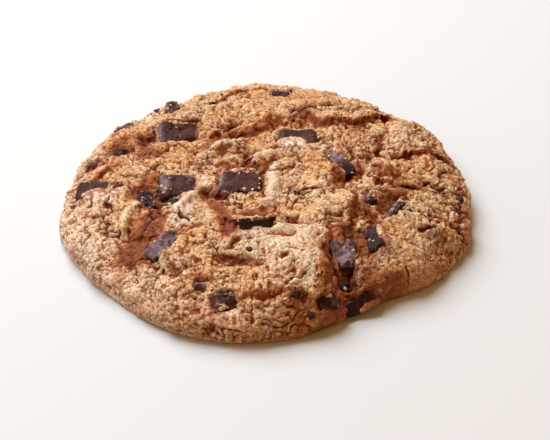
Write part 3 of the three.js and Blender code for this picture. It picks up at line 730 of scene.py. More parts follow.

# %% [markdown]
# ## Strokes of colour
# The colour of a cookie follows its folds. A crest dries to a cream and the lee of a fold toasts to an
# orange-brown, and these strokes also carry painted light on the lit side of a fold and painted shade on its
# far side and on steep walls. Sugar leaves ochre places and pale films, and the deepest hollows are painted
# dark, as browning and painted shade. They are drawn as strokes beside the cracks and ridges, since noise
# alone would put them anywhere.

# %% Strokes of colour
# what, then path, half width and strength of each
STROKES = {
    "toasted_and_shaded": [  # toasting, and painted shade in the lee of a fold or a piece and on steep walls
        ([(-12.8, -10.3), (-10.7, -14.4), (-9.3, -18.4), (-8.3, -21.9), (-7.6, -24.9)], 1.7, 1.5),
        ([(-6.3, -17.8), (-3.8, -16.8), (-0.8, -16.1)], 1.1, 0.9),
        ([(-24.5, -20.3), (-25.4, -23.2), (-26.7, -25.9), (-27.9, -28.3)], 3.3, 1.4),
        ([(-25.3, -14.8), (-23, -17.2), (-22, -19.4)], 1.4, 1.3),
        ([(-29, -9.2), (-27.2, -6.5), (-25.2, -3.4)], 1.4, 1),
        ([(-35.4, 10.6), (-34.3, 13.6), (-32.1, 15.1)], 1.6, 0.8),
        ([(-29.1, 15.9), (-28.2, 10.6), (-26.3, 6.4), (-24.5, 6.1)], 2.1, 0.9),
        ([(-37.1, -0.8), (-35.6, 2.3)], 1.1, 0.8),
        ([(-13.6, 5.9), (-11.9, 10.2), (-10.1, 11.9), (-7.9, 12.3)], 1.4, 1),
        ([(-10.2, 5.3), (-8.9, 7.5)], 1.1, 0.8), ([(-9.8, -0.1), (-7.6, -0.9), (-4.5, 0.3)], 1.1, 1),
        ([(-2.7, 0.7), (-0.9, 1.5), (1.3, 2.7)], 1.3, 0.9),
        ([(-0.7, -1.8), (-0.9, -5.8), (-0.4, -11.2)], 0.8, 0.9),
        ([(15.8, 0.5), (15.7, -3.9), (15.7, -8.6), (17.5, -9.2)], 1.4, 1),
        ([(20.6, 2.1), (20.4, -2.8)], 1.1, 0.8), ([(24.5, -0.7), (26.7, -1.2), (28.8, -3.2)], 1.7, 0.6),
        ([(25.4, -11.6), (27.1, -8.8), (29.9, -6.8)], 2.0, 0.9),
        ([(18.3, -15.3), (18.2, -18.9), (17.9, -22)], 0.7, 1),
        ([(16.7, -23.9), (18.2, -25.4), (20.2, -25.7)], 2.3, 1.2),
        ([(20.3, -15.1), (22.3, -17.9), (23.9, -20.2)], 2.0, 0.8),
        ([(12.2, -28.5), (12.9, -32.7), (12.4, -37.1), (11.6, -40.1)], 1.7, 0.6),
        ([(20.6, -32.7), (20.8, -34.8), (23.8, -34.6), (28, -33.7)], 2.7, 0.9),
        ([(16.2, -35.3), (17.8, -35.8), (17.4, -37.9), (16.5, -39.4)], 1.4, 0.9),
        ([(7.4, -44.9), (10.7, -43.8), (14, -41.5)], 2.0, 0.7),
        ([(-17.1, -24.5), (-15.5, -23.4), (-13.8, -23.2)], 0.8, 1), ([(30.4, -5.9), (34, -5.6)], 1.1, 0.8),
        ([(35.5, -3.6), (38.6, -4.1)], 0.8, 0.8), ([(37.1, 10.2), (39.4, 9.8), (41.7, 11.2)], 1.1, 0.8),
        ([(-17, 0.6), (-14.7, 0.1), (-12.9, 0.8)], 0.8, 0.8),
        ([(-10.1, -32.9), (-7.7, -33), (-5.2, -34.2), (-2.7, -33.9)], 0.8, 0.8),
        ([(-15.3, -37.5), (-10.6, -38.3)], 0.7, 0.6), ([(-19.2, -32.9), (-17.9, -34.7)], 0.7, 0.7),
        ([(-5.1, -42.4), (-0.6, -41.9), (2.4, -42.1)], 0.7, 0.7),
        ([(5.4, -42.2), (7, -44.3), (8.3, -45.1)], 1.4, 0.7),
        ([(-6.9, 11.8), (-3.8, 14), (-0.1, 15.8)], 0.9, 0.8),
        ([(12.5, 17.6), (15.9, 17.5), (19.4, 16.9)], 0.7, 1.1),
        ([(19.4, 16.9), (22.8, 20.1), (26.6, 20.7), (30.7, 24.2)], 0.7, 1.1),
    ],
    "cream": [  # dried pale, and painted light on the lit side of a fold or an edge
        ([(-27.5, -11.2), (-28.6, -14.2), (-29.7, -16.9), (-30.8, -19.1)], 0.7, 1),
        ([(-13.1, -7.9), (-14.7, -9.8), (-16.4, -11.5), (-18, -13.2)], 0.7, 1),
        ([(-13.6, 0.9), (-12.4, 4.2), (-11.1, 6.7), (-10, 8.4)], 0.8, 1),
        ([(-9.4, 2), (-7.2, 2.8), (-4.5, 3.6)], 0.7, 0.9),
        ([(-3.6, 2.8), (-1.8, 4.9), (0.4, 5.3)], 0.8, 0.9),
        ([(1.3, 0.7), (0.9, -4.2), (1.3, -8.9), (0.9, -14.2)], 1.0, 0.7),
        ([(-15.1, -22.1), (-13.1, -19.6), (-11.9, -16.9)], 1.1, 0.6),
        ([(25.7, -25.2), (24.6, -27.6), (23.2, -29.8), (21.7, -31.2), (19.8, -31.6)], 0.4, 1),
        ([(33.6, -10.8), (32.8, -14.4)], 1.3, 0.7), ([(28.8, -16.4), (30, -18.7)], 0.9, 0.7),
        ([(9.3, -24.1), (7.6, -29.4), (9.4, -33.9), (8.7, -38.3)], 2.6, 0.8),
        ([(-2.8, -24.6), (3, -23.9), (7.2, -24.9)], 1.3, 0.6),
        ([(-5.2, -29.6), (-0.7, -30.2), (5.1, -31.1)], 1.5, 0.6),
        ([(-39, -9.1), (-36.3, -9), (-33.1, -10.2)], 0.9, 0.8),
        ([(-44.4, 17.1), (-39.9, 25.1), (-32.5, 25.3), (-25.4, 26.6)], 0.9, 0.7),
        ([(15.4, -19.1), (11.1, -22), (9.8, -24.7)], 1.1, 0.5),
        ([(-44, -1.2), (-45.9, -6.4), (-46.1, -15.9)], 1.8, 0.5),
    ],
    "ochre": [  # stayed a yellow ochre
        ([(-7.3, -13.4), (-4.5, -13.8), (-2.1, -13.1)], 0.9, 1),
        ([(-24.1, 6.9), (-20.6, 6.4), (-16.2, 8.2)], 1.8, 1),
        ([(-25.9, 0.8), (-21, 1.3), (-17.1, 2.7)], 1.3, 0.8),
        ([(-4.8, 7), (-1, 8.7), (1.8, 10.8)], 1.1, 0.6),
        ([(11.1, -22), (12.5, -24.4), (14.1, -26)], 0.9, 0.8),
        ([(22.4, -7.3), (24.7, -5.4), (26.4, -6.7)], 1.1, 0.8), ([(8.6, -7.3), (11, -7.6)], 0.7, 0.8),
        ([(-39.3, 2.6), (-37.9, 2.6)], 0.9, 0.8),
    ],
    "film_and_highlight": [  # fat and sugar came to the surface
        ([(-17.5, -15.4), (-18.2, -18.1), (-19.1, -21.4)], 0.7, 1),
        ([(-15.1, -22.1), (-16.8, -21)], 0.7, 0.6), ([(-13.2, -3.2), (-14.5, -3.9)], 0.7, 0.7),
        ([(-11.4, -4.1), (-11.6, -7.2)], 0.4, 0.6), ([(4.5, 6.6), (7.7, 8.3), (9.5, 9.3)], 0.7, 1),
        ([(16.4, -14.4), (17.4, -17)], 0.4, 0.7), ([(12.3, -6.4), (13.5, -8.7)], 0.4, 0.7),
        ([(-28.5, 26.8), (-26.6, 29.4), (-24.5, 31.3)], 1.3, 0.6),
        ([(-38.7, -7.8), (-35.6, -9.2), (-32.7, -9.2)], 1.1, 0.45),
        # this one, along the lit edge of the right plate, is a painted highlight
        ([(26.4, -24.7), (24.8, -27.5), (23.4, -29.7), (21.7, -31.1), (19.8, -31.5), (19.1, -33),
          (19.3, -34.5)], 0.6, 0.75),
    ],
    "dark": [  # hollows painted a dark red-brown: browning and painted shade
        ([(-26.3, 19.9), (-25.9, 12.9)], 0.6, 1), ([(-16.6, 17.7), (-16.1, 12.3)], 0.5, 0.9),
        ([(10.5, 14.2), (11.4, 10.2)], 0.4, 0.7), ([(24.9, 7.5), (26.5, 3.4)], 0.4, 0.7),
        ([(27.5, 4.9), (28, 1.2)], 0.3, 0.8), ([(37.2, -15.8), (35.3, -16.9)], 0.3, 0.7),
        ([(-35.3, 11.6), (-32.1, 9.5)], 0.5, 1), ([(-28.4, 16.3), (-27.7, 12.9)], 0.7, 1),
        ([(-29.7, 6.4), (-28.2, 6.5)], 0.4, 0.9), ([(-41.4, 6.9), (-40.3, 7.8), (-38.4, 7.6)], 0.5, 1),
        ([(-26.2, -8.5), (-23.9, -9.6), (-22.9, -12.7), (-23.2, -14.8)], 1.0, 1),
        ([(-10.4, -11.4), (-8.4, -12.2)], 0.5, 1), ([(-3.6, 2), (-2.7, -0.5)], 0.5, 1),
        ([(-0.8, -9.7), (-0.6, -12.7)], 0.4, 0.8), ([(-9.2, -21.5), (-7.9, -24.8)], 0.7, 0.6),
        ([(26, 14.7), (26.5, 11.5), (25.1, 6.6)], 0.4, 1), ([(30.4, -5.8), (34, -4.8)], 0.4, 1),
        ([(35.3, -3.2), (36.7, -2.2)], 0.4, 1), ([(37.2, -4.3), (39.6, -3.5)], 0.4, 1),
        ([(12.4, -28.7), (12.8, -30.9)], 0.4, 0.9), ([(13.6, -31.2), (15.2, -33.3)], 0.6, 1),
        ([(15.4, -34.5), (17.9, -34), (18.5, -35)], 0.4, 1), ([(16.4, -36.6), (19.5, -35.2)], 0.4, 0.8),
        ([(25.9, -15.7), (28.1, -13.5)], 0.5, 0.8), ([(29.4, -30.6), (29.8, -31.2)], 0.2, 1),
        ([(34.9, -22.6), (37.9, -21.6)], 0.7, 0.5), ([(7.4, -10.3), (8.9, -11.8), (10.9, -10.2)], 0.4, 1),
        ([(-6.2, -21.9), (-6.6, -23.6)], 0.4, 1), ([(-14.5, -22.5), (-15.9, -24.3)], 0.4, 0.8),
        ([(-12.2, 11.6), (-10.1, 12)], 0.5, 0.9), ([(32.7, -19.9), (37, -18.5)], 0.3, 0.8),
        ([(20.4, 1.7), (20.4, -1.5)], 0.4, 0.8),
    ],
}


def strokes(what, x, y):
    """Soft strokes on the plan: 1 along the middle of one, falling to 0 beside it."""
    total = np.zeros(len(x))
    for path, width, strength in STROKES[what]:
        _, gap, _, _ = along_path(path, x, y)
        total = np.maximum(total, strength * np.exp(-((gap / width) ** 2)))
    return total


print("strokes:", {what: len(paths) for what, paths in STROKES.items()})

# %% [markdown]
# ## Small dark hollows
# Steam and melting sugar leave small hollows, and their walls are painted red-brown to maroon, as browning
# and painted shade. They are too small for the relief of the whole cookie, so they are cut with the grain,
# from one list of spots.

# %% Dark hollows
# small dark hollows whose walls are painted red-brown, browning and painted shade: middle, half sizes, turn,
# depth
DARK_HOLLOWS = [
    ((-33.3, 10.8), (2.8, 1.1), 4, 1.0), ((-27.5, 16.4), (1.2, 1.5), 0, 0.9),
    ((-24.6, 18), (0.9, 2.6), 0, 1.1), ((-39.3, 7), (3, 1.1), 34, 1.1), ((-30.3, -2), (1.6, 0.8), -10, 0.6),
    ((-29.4, 8.6), (3.6, 0.9), -12, 0.8), ((-10.4, 12.2), (2.8, 0.9), 8, 0.9),
    ((-8.6, 17), (2.2, 1.3), 0, 0.9), ((8.4, 23.4), (1, 3.4), -38, 1.1), ((19.6, 5.8), (0.6, 2.8), 8, 1.0),
    ((32.6, -5.2), (2.2, 0.9), 10, 1.0), ((38.4, -5.6), (2, 0.8), -6, 0.9),
    ((43, -8.4), (1.4, 0.9), 0, 0.8), ((36, -20.6), (2.6, 1.6), 40, 0.6), ((-18, -36), (1.2, 1), 0, 0.6),
    ((8, -41.5), (1, 2), 30, 0.7), ((-2.6, -17), (2.6, 0.9), 4, 0.9), ((-5, -33.4), (3.4, 0.9), -6, 0.8),
    ((36.6, 11.2), (4.4, 1), -6, 0.9), ((-8.6, 26), (0.8, 1.6), 0, 0.6),
    ((-24.2, -8.5), (1.2, 3.4), -20, 0.8), ((-21, -12.6), (2.6, 0.8), 0, 0.6),
    ((13.4, 23.4), (2.4, 0.7), -4, 0.6), ((-9.5, -10.8), (1.7, 0.9), -20, 1.0),
    ((24.2, -40), (4.6, 2), 24, 0.3),
]
print(len(DARK_HOLLOWS), "dark hollows")

# %% [markdown]
# ## Where the crust is calm, level, hollow or torn
# Before any grain is made, each point is given four amounts, mostly read off the lists above. The grain
# can then be strong, weak or left out there. Two rolling shifts, a jagged and a winding one, keep every
# border crooked.

# %% Calm, level, hollow and torn places
facing = facings(points, faces)
p = points
x, y, z = p.T
jagged = np.stack([rolling(p, 1.1, 11 + n) for n in range(3)], 1)
winding = np.stack([rolling(p, 3.8, 14 + n) for n in range(3)], 1)
calm = np.zeros(len(p))
for at, size, turn, amount in SMOOTH_PLATES:
    calm = np.maximum(calm, amount * spot(at, size, turn, x, y))
toasted_and_shaded, dark = strokes("toasted_and_shaded", *wandered(x, y)), strokes("dark", *wandered(x, y))
calm = np.maximum(calm, 0.3 * np.minimum(toasted_and_shaded, 1))
flat = 0.2 + 0.4 * smooth_step(-0.3, 0.4, rolling(p, 9, 33))
for at, size, turn, amount in FLAT_PLATES:
    flat = np.maximum(flat, amount * spot(at, size, turn, x, y))
folded = np.zeros(len(p))
for path, rise, width in RIDGES:
    _, gap, taper, _ = along_path(path, *wandered(x, y))
    folded = np.maximum(folded, min(rise, 1) * taper * np.exp(-((gap / (1.1 * width)) ** 2)))
calm = np.maximum(calm, 0.75 * folded)
calm = np.clip(calm + 0.35 * rolling(p, 6, 31) * (calm > 0.05), 0, 1)

hollow = np.zeros(len(p))
for at, size, turn, depth in DARK_HOLLOWS:
    wider = (1.3 * size[0], 1.3 * size[1])
    here = spot(at, wider, turn, x + 0.9 * winding[:, 0], y + 0.9 * winding[:, 1])
    hollow = np.maximum(hollow, depth * here)
cliff_face, crack_floor = torn_faces(x, y)
bare = np.clip(np.maximum(cliff_face, crack_floor), 0, 1) * smooth_step(0.3, 2.4, z)
print("mean calm", calm.mean().round(2), "level", flat.mean().round(2), "bare", bare.mean().round(3))

# %% [markdown]
# ## Packed grains, lumps and plates
# Close up, the crust is a heap of grains: sugar and flour that set in lumps a millimetre or two wide, with
# dark gaps between. Under them the skin has torn into plates some 7 mm wide. Cells from the seeded noise,
# at four widths, give both. Along some borders between cells the skin is torn right open.

# %% Packed grains
GRAIN_WIDTH = 1.15
LUMP_WIDTH = 2.0
SMALL_PLATE_WIDTH = 3.6
PLATE_WIDTH = 7.5


def tears(gap_between_cells, width):
    """1 along the border between two cells, falling to 0 away from it."""
    return np.exp(-((gap_between_cells / width) ** 2))


grain_first, grain_second, grain_tone = grains(p + 0.3 * jagged, GRAIN_WIDTH, 1)
lump_first, lump_second, lump_tone = grains(p + 0.45 * jagged + 0.3 * winding, LUMP_WIDTH, 2)
plate_first, plate_second, plate_tone = grains(p + 0.5 * jagged + 1.4 * winding, PLATE_WIDTH, 3)
small_first, small_second, small_tone = grains(p + 0.5 * jagged + 0.7 * winding, SMALL_PLATE_WIDTH, 4)

wide_here = smooth_step(-0.05, 0.25, rolling(p, 8, 21) + 0.006 * (x + y))
thin_here = smooth_step(0.0, 0.3, rolling(p, 5, 22) + 0.004 * (x + y))
wide_tear = tears(plate_second - plate_first, 0.065) * wide_here
thin_tear = tears(small_second - small_first, 0.085) * thin_here
torn = np.maximum(wide_tear, 0.75 * thin_tear) * (1 - spot((32, -27), (11, 9), 0, x, y))
torn *= (1 - 0.8 * spot((4, -28), (14, 11), 0, x, y)) * (1 - 0.7 * crack_floor)
print("share of the crust that is torn open:", (torn > 0.5).mean().round(3))

# %% [markdown]
# ## Rounded grains, pits and seams
# Each kind of cell gets its own form: grains and lumps are rounded, plates step up or down, and borders
# are creased in some places and closed in others. Pits and fine seams come from plain noise, where it
# passes through a chosen level. One noise for all would look like stone.

# %% Rounded grains, pits and seams
HEAPS = [(5.5, 0.38), (2.8, 0.24)]  # width and height of the heaps that the grains lie in
pitted = 0.62 * rolling(p + 0.3 * jagged, 1.2, 51) + 0.55 * rolling(p, 0.8, 52) + 0.22 * rolling(p, 8, 53)
pits = smooth_step(0.18, 0.46, pitted - 0.25 * calm - 0.1 * flat)
rounded_grain = (1 - 1.5 * grain_first**2) * (0.4 + 0.8 * grain_tone) - 0.4
rounded_lump = (1 - 1.3 * lump_first**2) * (0.5 + 0.8 * lump_tone) - 0.5
rounded_small = (1 - 1.2 * small_first**2) * (0.5 + 0.8 * small_tone) - 0.5
step = (plate_tone - 0.6) * 0.4 * (1 - tears(plate_second - plate_first, 0.08))
heaped = sum(height * (np.abs(rolling(p + 0.4 * winding, wave, 24 + n)) - 0.5)
             for n, (wave, height) in enumerate(HEAPS))
creased = tears(lump_second - lump_first, 0.13) * smooth_step(-0.25, 0.25, rolling(p, 2.6, 61))
split = tears(small_second - small_first, 0.08) * smooth_step(-0.2, 0.3, rolling(p, 3.1, 64))
nicked = tears(grain_second - grain_first, 0.16) * smooth_step(-0.2, 0.3, rolling(p, 1.7, 62))
loose = (1 - 0.8 * calm) * (1 - 0.3 * bare)
seam_line = np.abs(rolling(p + 0.35 * jagged + 0.5 * winding, 3.6, 71))
seams = tears(seam_line, 0.075) * smooth_step(-0.3, 0.2, rolling(p, 3, 73))
fine_line = np.abs(rolling(p + 0.3 * jagged, 2.0, 72))
fine_seams = tears(fine_line, 0.1) * smooth_step(-0.2, 0.25, rolling(p, 2.4, 74))
puffed = 0.12 * smooth_step(0, 0.4, seam_line) + 0.08 * smooth_step(0, 0.4, fine_line)
crumbled = 0.5 * rolling(p + 0.3 * jagged, 1.9, 57) + 0.26 * rolling(p, 0.8, 58)
print("share of the crust in a pit:", (pits > 0.5).mean().round(3))

# %% [markdown]
# ## Add up the grain
# All of it is pushed out square to the crust and mostly cut inwards, so that the cookie keeps its size.
# Calm and level places get less, and the base gets none. A displacement in the finish would do the same
# while rendering, but then the model itself would stay smooth.

# %% Add up the grain
level = 1 - flat
grain = loose * (0.11 + 0.1 * level) * rounded_grain + loose * level * (0.2 * rounded_lump - 0.38 * creased)
grain += loose * level * (0.28 * rounded_small - 0.34 * split)
grain += (loose * (puffed - 0.26 * pits - 0.24 * nicked)
          - (1 - 0.6 * calm) * (0.24 * seams + 0.2 * fine_seams) - 0.05)
grain += (1 - 0.7 * calm) * level * (step + heaped) + 0.2
grain += bare * (1 - 0.8 * calm) * crumbled
grain -= 0.9 * torn + 1.2 * hollow + 0.7 * dark
grain *= smooth_step(0.2, 1.5, z)
points = p + facing * grain[:, None]
print("grain from", grain.min().round(2), "to", grain.max().round(2), "mm")

# %% [markdown]
# ## Where dough covers the chocolate
# Some pieces lie partly under a thin sheet of dough that ran over them before it set. Each sheet is a soft
# spot on the face of its piece. It could be a separate sheet laid on top, but it is one with the crust.

# %% Covered places
# where a thin sheet of dough runs over a piece: piece, middle across and along its face, half sizes
COVERED = [
    (8, (1.2, -1.5), (4.6, 2.0)), (11, (-1.2, -1.9), (4.0, 2.4)), (22, (1.4, -2.2), (1.6, 0.8)),
    (19, (1.8, -1.6), (3, 1.3)), (20, (0.4, 1.5), (7, 0.8)), (5, (0.8, 3.4), (4.6, 1.0)),
    (17, (0.6, 2), (1.5, 0.8)), (9, (0, -1.2), (1.8, 1.3)), (7, (0, -1.1), (2.4, 0.8)),
    (21, (0, -1.2), (2, 0.7)), (20, (5.2, 0), (1.5, 2)), (1, (0.6, 3.6), (3.6, 0.7)),
    (16, (-2.6, -2.8), (1.5, 2.4)), (16, (2.7, -3), (1.2, 2.6)), (16, (0.3, 2.8), (0.9, 1.6)),
    (5, (4.6, 0), (0.9, 3)), (14, (-3.4, -0.8), (2.2, 0.5)), (12, (1.6, -1.9), (2.6, 0.6)),
    (12, (-3.6, 1.2), (1.2, 0.9)), (15, (1.6, 0.4), (0.8, 2.6)),
]
print(len(COVERED), "sheets of dough, over", len({piece for piece, _, _ in COVERED}), "pieces")

# %% [markdown]
# ## The dough parts round the chocolate
# Where a piece lies, the dough can't be. Cutting a pocket with a boolean would leave an even slot all
# round, as if the pieces were set in by machine. Instead, the crust over each piece is pressed down to
# just under its face, inside an outline that strays in and out, so that dough laps over the edge here and
# shrinks from it there.

# %% Pockets
CORNER_POWER = 6  # how square the outline of a pocket is
near_chunk = np.full(len(points), 9.0)  # distance to the edge of the nearest piece
covered = np.zeros(len(points))
for n, (middle, axes, (across, along, through)) in enumerate(chunk_frames):
    local = (points - middle) @ axes
    stray = 0.25 + 0.4 * rolling(points, 2.2, 40 + n) + 0.25 * rolling(points, 0.9, 80 + n)
    reach_across, reach_along = np.abs(2 * local[:, 0] / across), np.abs(2 * local[:, 1] / along)
    reach = (reach_across**CORNER_POWER + reach_along**CORNER_POWER) ** (1 / CORNER_POWER)
    outside = (reach - 1) * min(across, along) / 2
    deep = (outside < 4) & (local[:, 2] > -through)
    near_chunk = np.where(deep & (outside < near_chunk) & (local[:, 2] > -3), outside, near_chunk)
    floor_level = -0.25 - 1.1 * smooth_step(0, 0.7, -(outside + stray))
    press = deep & (outside + stray < 0) & (local[:, 2] > floor_level)
    down = np.where(press, local[:, 2] - floor_level, 0)
    open_side = smooth_step(-0.3, 0.4, rolling(points, 3.5, 60 + n))
    gap = np.where(deep & ~press, 0.5 * np.exp(-(((outside + stray) / 0.4) ** 2)), 0) * open_side
    lip = np.where(deep & ~press, 0.75 * np.exp(-(((outside + stray - 0.7) / 0.8) ** 2)), 0)
    lip = lip * (1 - open_side) * smooth_step(1.6, 0.2, local[:, 2])
    points = points + axes[:, 2] * (lip - down - gap)[:, None]
    for piece, at, half in COVERED:
        if piece == n + 1:
            local = (points - middle) @ axes
            strayed = local + 0.5 * winding
            over = smooth_step(0.3, 0.6, spot(at, half, 0, strayed[:, 0], strayed[:, 1]))
            over = over * deep * (reach < 1.25)
            sheet = 0.22 + 0.12 * rolling(points, 1.3, 130 + n) + 0.05 * rounded_grain
            points = points + axes[:, 2] * (over * np.maximum(0, sheet - local[:, 2]))[:, None]
            covered = np.maximum(covered, over)
near_chunk = np.where(covered > 0.4, np.maximum(near_chunk, 1), near_chunk)
points[:, 2] = np.maximum(points[:, 2], 0)
points[crust_count:, 2] = 0
print("points within 1 mm of chocolate:", int((near_chunk < 1).sum()))

# %% [markdown]
# ## What the colour needs to know
# The oven browns a cookie unevenly: the gaps between grains and the walls of the tears go red-brown, and
# the crests dry pale. Here the same measures also paint light and shade: gaps, cracks, steep walls and wide
# valleys are darkened as painted shade as well as browning, and the crests are made paler as a painted
# highlight as well as drying. So the colour of the crust follows its shape. A finish can find edges by
# itself, but only while rendering, so the shapes are measured here once, as named values on the mesh that
# the finish can read.

# %% Measure the crust
facing = facings(points, faces)
near = averaged(points, 3, edges)
wide = averaged(near, 18, edges)
broad = averaged(wide, 90, edges)
facing_wide = facings(wide, faces)
gap_depth = ((near - points) * facing).sum(1)
crack_depth = ((wide - points) * facing).sum(1)
valley_depth = ((broad - wide) * facing_wide).sum(1)
steep = np.clip(1 - (facing_wide * facings(broad, faces)).sum(1), 0, 1) * smooth_step(2, 4, points[:, 2])
cliff = np.maximum(steep / 0.35, bare)
under = np.zeros(len(points))
under[crust_count:] = 1
for name, v in (("gap", gap_depth), ("crack", crack_depth), ("valley", valley_depth), ("cliff", cliff)):
    print(name, np.percentile(v, [5, 25, 50, 75, 95]).round(3))

# %% [markdown]
# ## Keep the dough in its box
# The dressed cookie is kept within the box of the plain solids. The grain is cut mostly inwards, so only a
# few grains at the edge of the box are pulled in. Scaling the whole cookie down would do too, but would
# shift every piece.

# %% Keep the dough in its box
BOX_MARGIN = 0.02
points = points + CENTRING
inside = points.copy()
inside[:, :2] = np.clip(points[:, :2], cad_low[:2] + BOX_MARGIN, cad_high[:2] - BOX_MARGIN)
inside[:, 2] = np.clip(points[:, 2], 0, cad_high[2] - BOX_MARGIN)
print("furthest point pulled in:", np.abs(inside - points).max().round(3), "mm")
points = inside

# %% [markdown]
# ## From points to a piece
# Every piece below is made the same way: points in millimetres become a Blender mesh in metres, with its
# measured values as attributes. Blender can build a mesh point by point too, but with this many that is
# slow.

# %% Make a piece
def make_piece(name, points_mm, faces, values=None):
    mesh = bpy.data.meshes.new(name)
    mesh.vertices.add(len(points_mm))
    mesh.vertices.foreach_set("co", (points_mm * MM).astype(np.float32).ravel())
    mesh.loops.add(3 * len(faces))
    mesh.loops.foreach_set("vertex_index", faces.astype(np.int32).ravel())
    mesh.polygons.add(len(faces))
    mesh.polygons.foreach_set("loop_start", np.arange(0, 3 * len(faces), 3, dtype=np.int32))
    mesh.update(calc_edges=True)
    mesh.validate()
    mesh.polygons.foreach_set("use_smooth", np.ones(len(faces), bool))
    for key, v in (values or {}).items():
        mesh.attributes.new(key, "FLOAT", "POINT").data.foreach_set("value", v.astype(np.float32))
    piece = bpy.data.objects.new(name, mesh)
    bpy.context.scene.collection.objects.link(piece)
    return piece


print("metres in a millimetre:", MM)

# %% [markdown]
# ## Patches of colour
# Beside the strokes there are whole patches of another tone: pale films, cream plates, ochre places and a
# darker, browner back. The cream plates are partly dried pale and partly painted light, most of all the
# middle plate in front, which faces the camera and gets less of the window. They are soft spots on the plan
# again, and the finish breaks them up with noise.

# %% Patches of colour
# pale streaks where fat and sugar came to the surface, one of them a painted highlight on the lit edge of
# the right plate: middle, half sizes, turn, strength
PALE_STREAKS = [
    ((-17.8, -18), (2, 4.2), -12, 1.0), ((-37, -8), (5, 1.6), -4, 0.7), ((7, 8.8), (4, 1.6), 0, 0.9),
    ((1.6, -8), (1.2, 7), 4, 0.35), ((-12.3, -8.5), (1.4, 3), 20, 0.6),
    ((-17.5, -34.5), (1.6, 2.6), 20, 0.7), ((-9, 8), (4.5, 1.2), 8, 0.5), ((13.8, -39), (0.9, 0.9), 0, 1.0),
    ((24.6, -29), (1.6, 2.6), -30, 0.5), ((15, 4.6), (2.4, 1.0), -30, 0.6), ((4, -3), (3, 3), 0, 0.25),
    ((17, -13), (1, 3), 10, 0.5),
]
# plates and folds of a pale cream, partly dried pale and partly painted light, most of all the middle plate
# in front: middle, half sizes, turn, strength
CREAM = [
    ((-13.2, 3.6), (1.8, 4), -32, 1.0), ((9, -25), (4.4, 7), 0, 0.9), ((4, -36), (8, 5), 0, 0.6),
    ((12, -13), (3, 9), 32, 0.8), ((1.4, -8), (1.6, 8), 0, 0.6), ((34, -12), (5, 7), 0, 0.6),
    ((-36, -14), (6, 8), 0, 0.5), ((0, 27), (14, 5), 0, 0.2), ((7, 10), (5, 2.4), 0, 0.8),
    ((-2, 4.6), (4, 1.2), 8, 0.8), ((-29, -15), (1.2, 5), 20, 0.9), ((24.4, -27), (1.2, 5), -30, 1.0),
    ((-12.5, -9.5), (2, 2), 0, 0.6), ((-5, -28), (7, 3), 0, 0.5), ((-18, -33), (4, 4), 0, 0.6),
    ((31, 14), (4, 6), -20, 0.4), ((3, -28), (13, 8), 0, 1.3),
]
# places that stayed a yellow ochre, where the dough is full of sugar: middle, half sizes, turn, strength
OCHRE = [
    ((-20, 8), (9, 4.4), 20, 1.0), ((-13, 12), (5, 3), 20, 0.9), ((-4.6, -12.6), (4.6, 1.6), 3, 1.0),
    ((3.4, 15), (3.4, 3), 0, 1.0), ((13.6, -23), (3, 1.6), 30, 0.9), ((23.6, -8.8), (3.4, 2), 0, 0.8),
    ((21, -1), (2.4, 3), 0, 0.9), ((30, 7), (4, 1.4), 10, 0.7), ((29, -17.6), (3, 2.4), -20, 0.8),
    ((-13, -26.5), (4, 2), 8, 0.9), ((0, -33), (6, 4), 0, 0.6), ((-17, -38), (5, 3), 0, 0.5),
    ((8.6, -8), (5, 3), 20, 0.7), ((12, 14.5), (6, 3), 0, 0.7), ((-4, 9.6), (4, 1.6), 8, 0.8),
    ((1.6, 5), (3, 1.4), 8, 0.7), ((16, 24), (10, 5), 0, 0.5), ((36, 1), (5, 5), 0, 0.4),
    ((-35.6, 0.4), (3, 1.6), 40, 0.9),
]
# places that are darker and browner at the back and the left: middle, half sizes, turn, strength
BROWN_BACK = [
    ((-28, 13), (10, 10), -20, 1.0), ((-32, -2), (5, 6), 0, 0.4), ((-6, 6), (13, 8), 20, 0.45),
    ((4, 31), (26, 9), 0, 0.4), ((-15, 14), (12, 9), 20, 0.35), ((18, 8), (14, 9), 0, 0.3),
]


def patches(spots, x, y):
    total = np.zeros_like(x)
    for at, size, turn, strength in spots:
        total = np.maximum(total, strength * spot(at, size, turn, x, y))
    return total


print("patches:", len(PALE_STREAKS + CREAM + OCHRE + BROWN_BACK))

# %% [markdown]
# ## Make the dough object
# The rim is browner at the front and the right, partly from baking and partly as painted shade on the sides
# turned from the window, and the left wall is painted paler, as painted light from the window. With those,
# all that the finish reads is put on the mesh as named values, which keeps the places of colour with the
# shape, where a picture could slip off it.
# The dough takes the place of the plain dough solid and rides with the cookie's one body.

# %% Dough object
at_x, at_y = (points - CENTRING)[:, 0], (points - CENTRING)[:, 1]
away = np.degrees(np.arctan2(at_y, at_x))
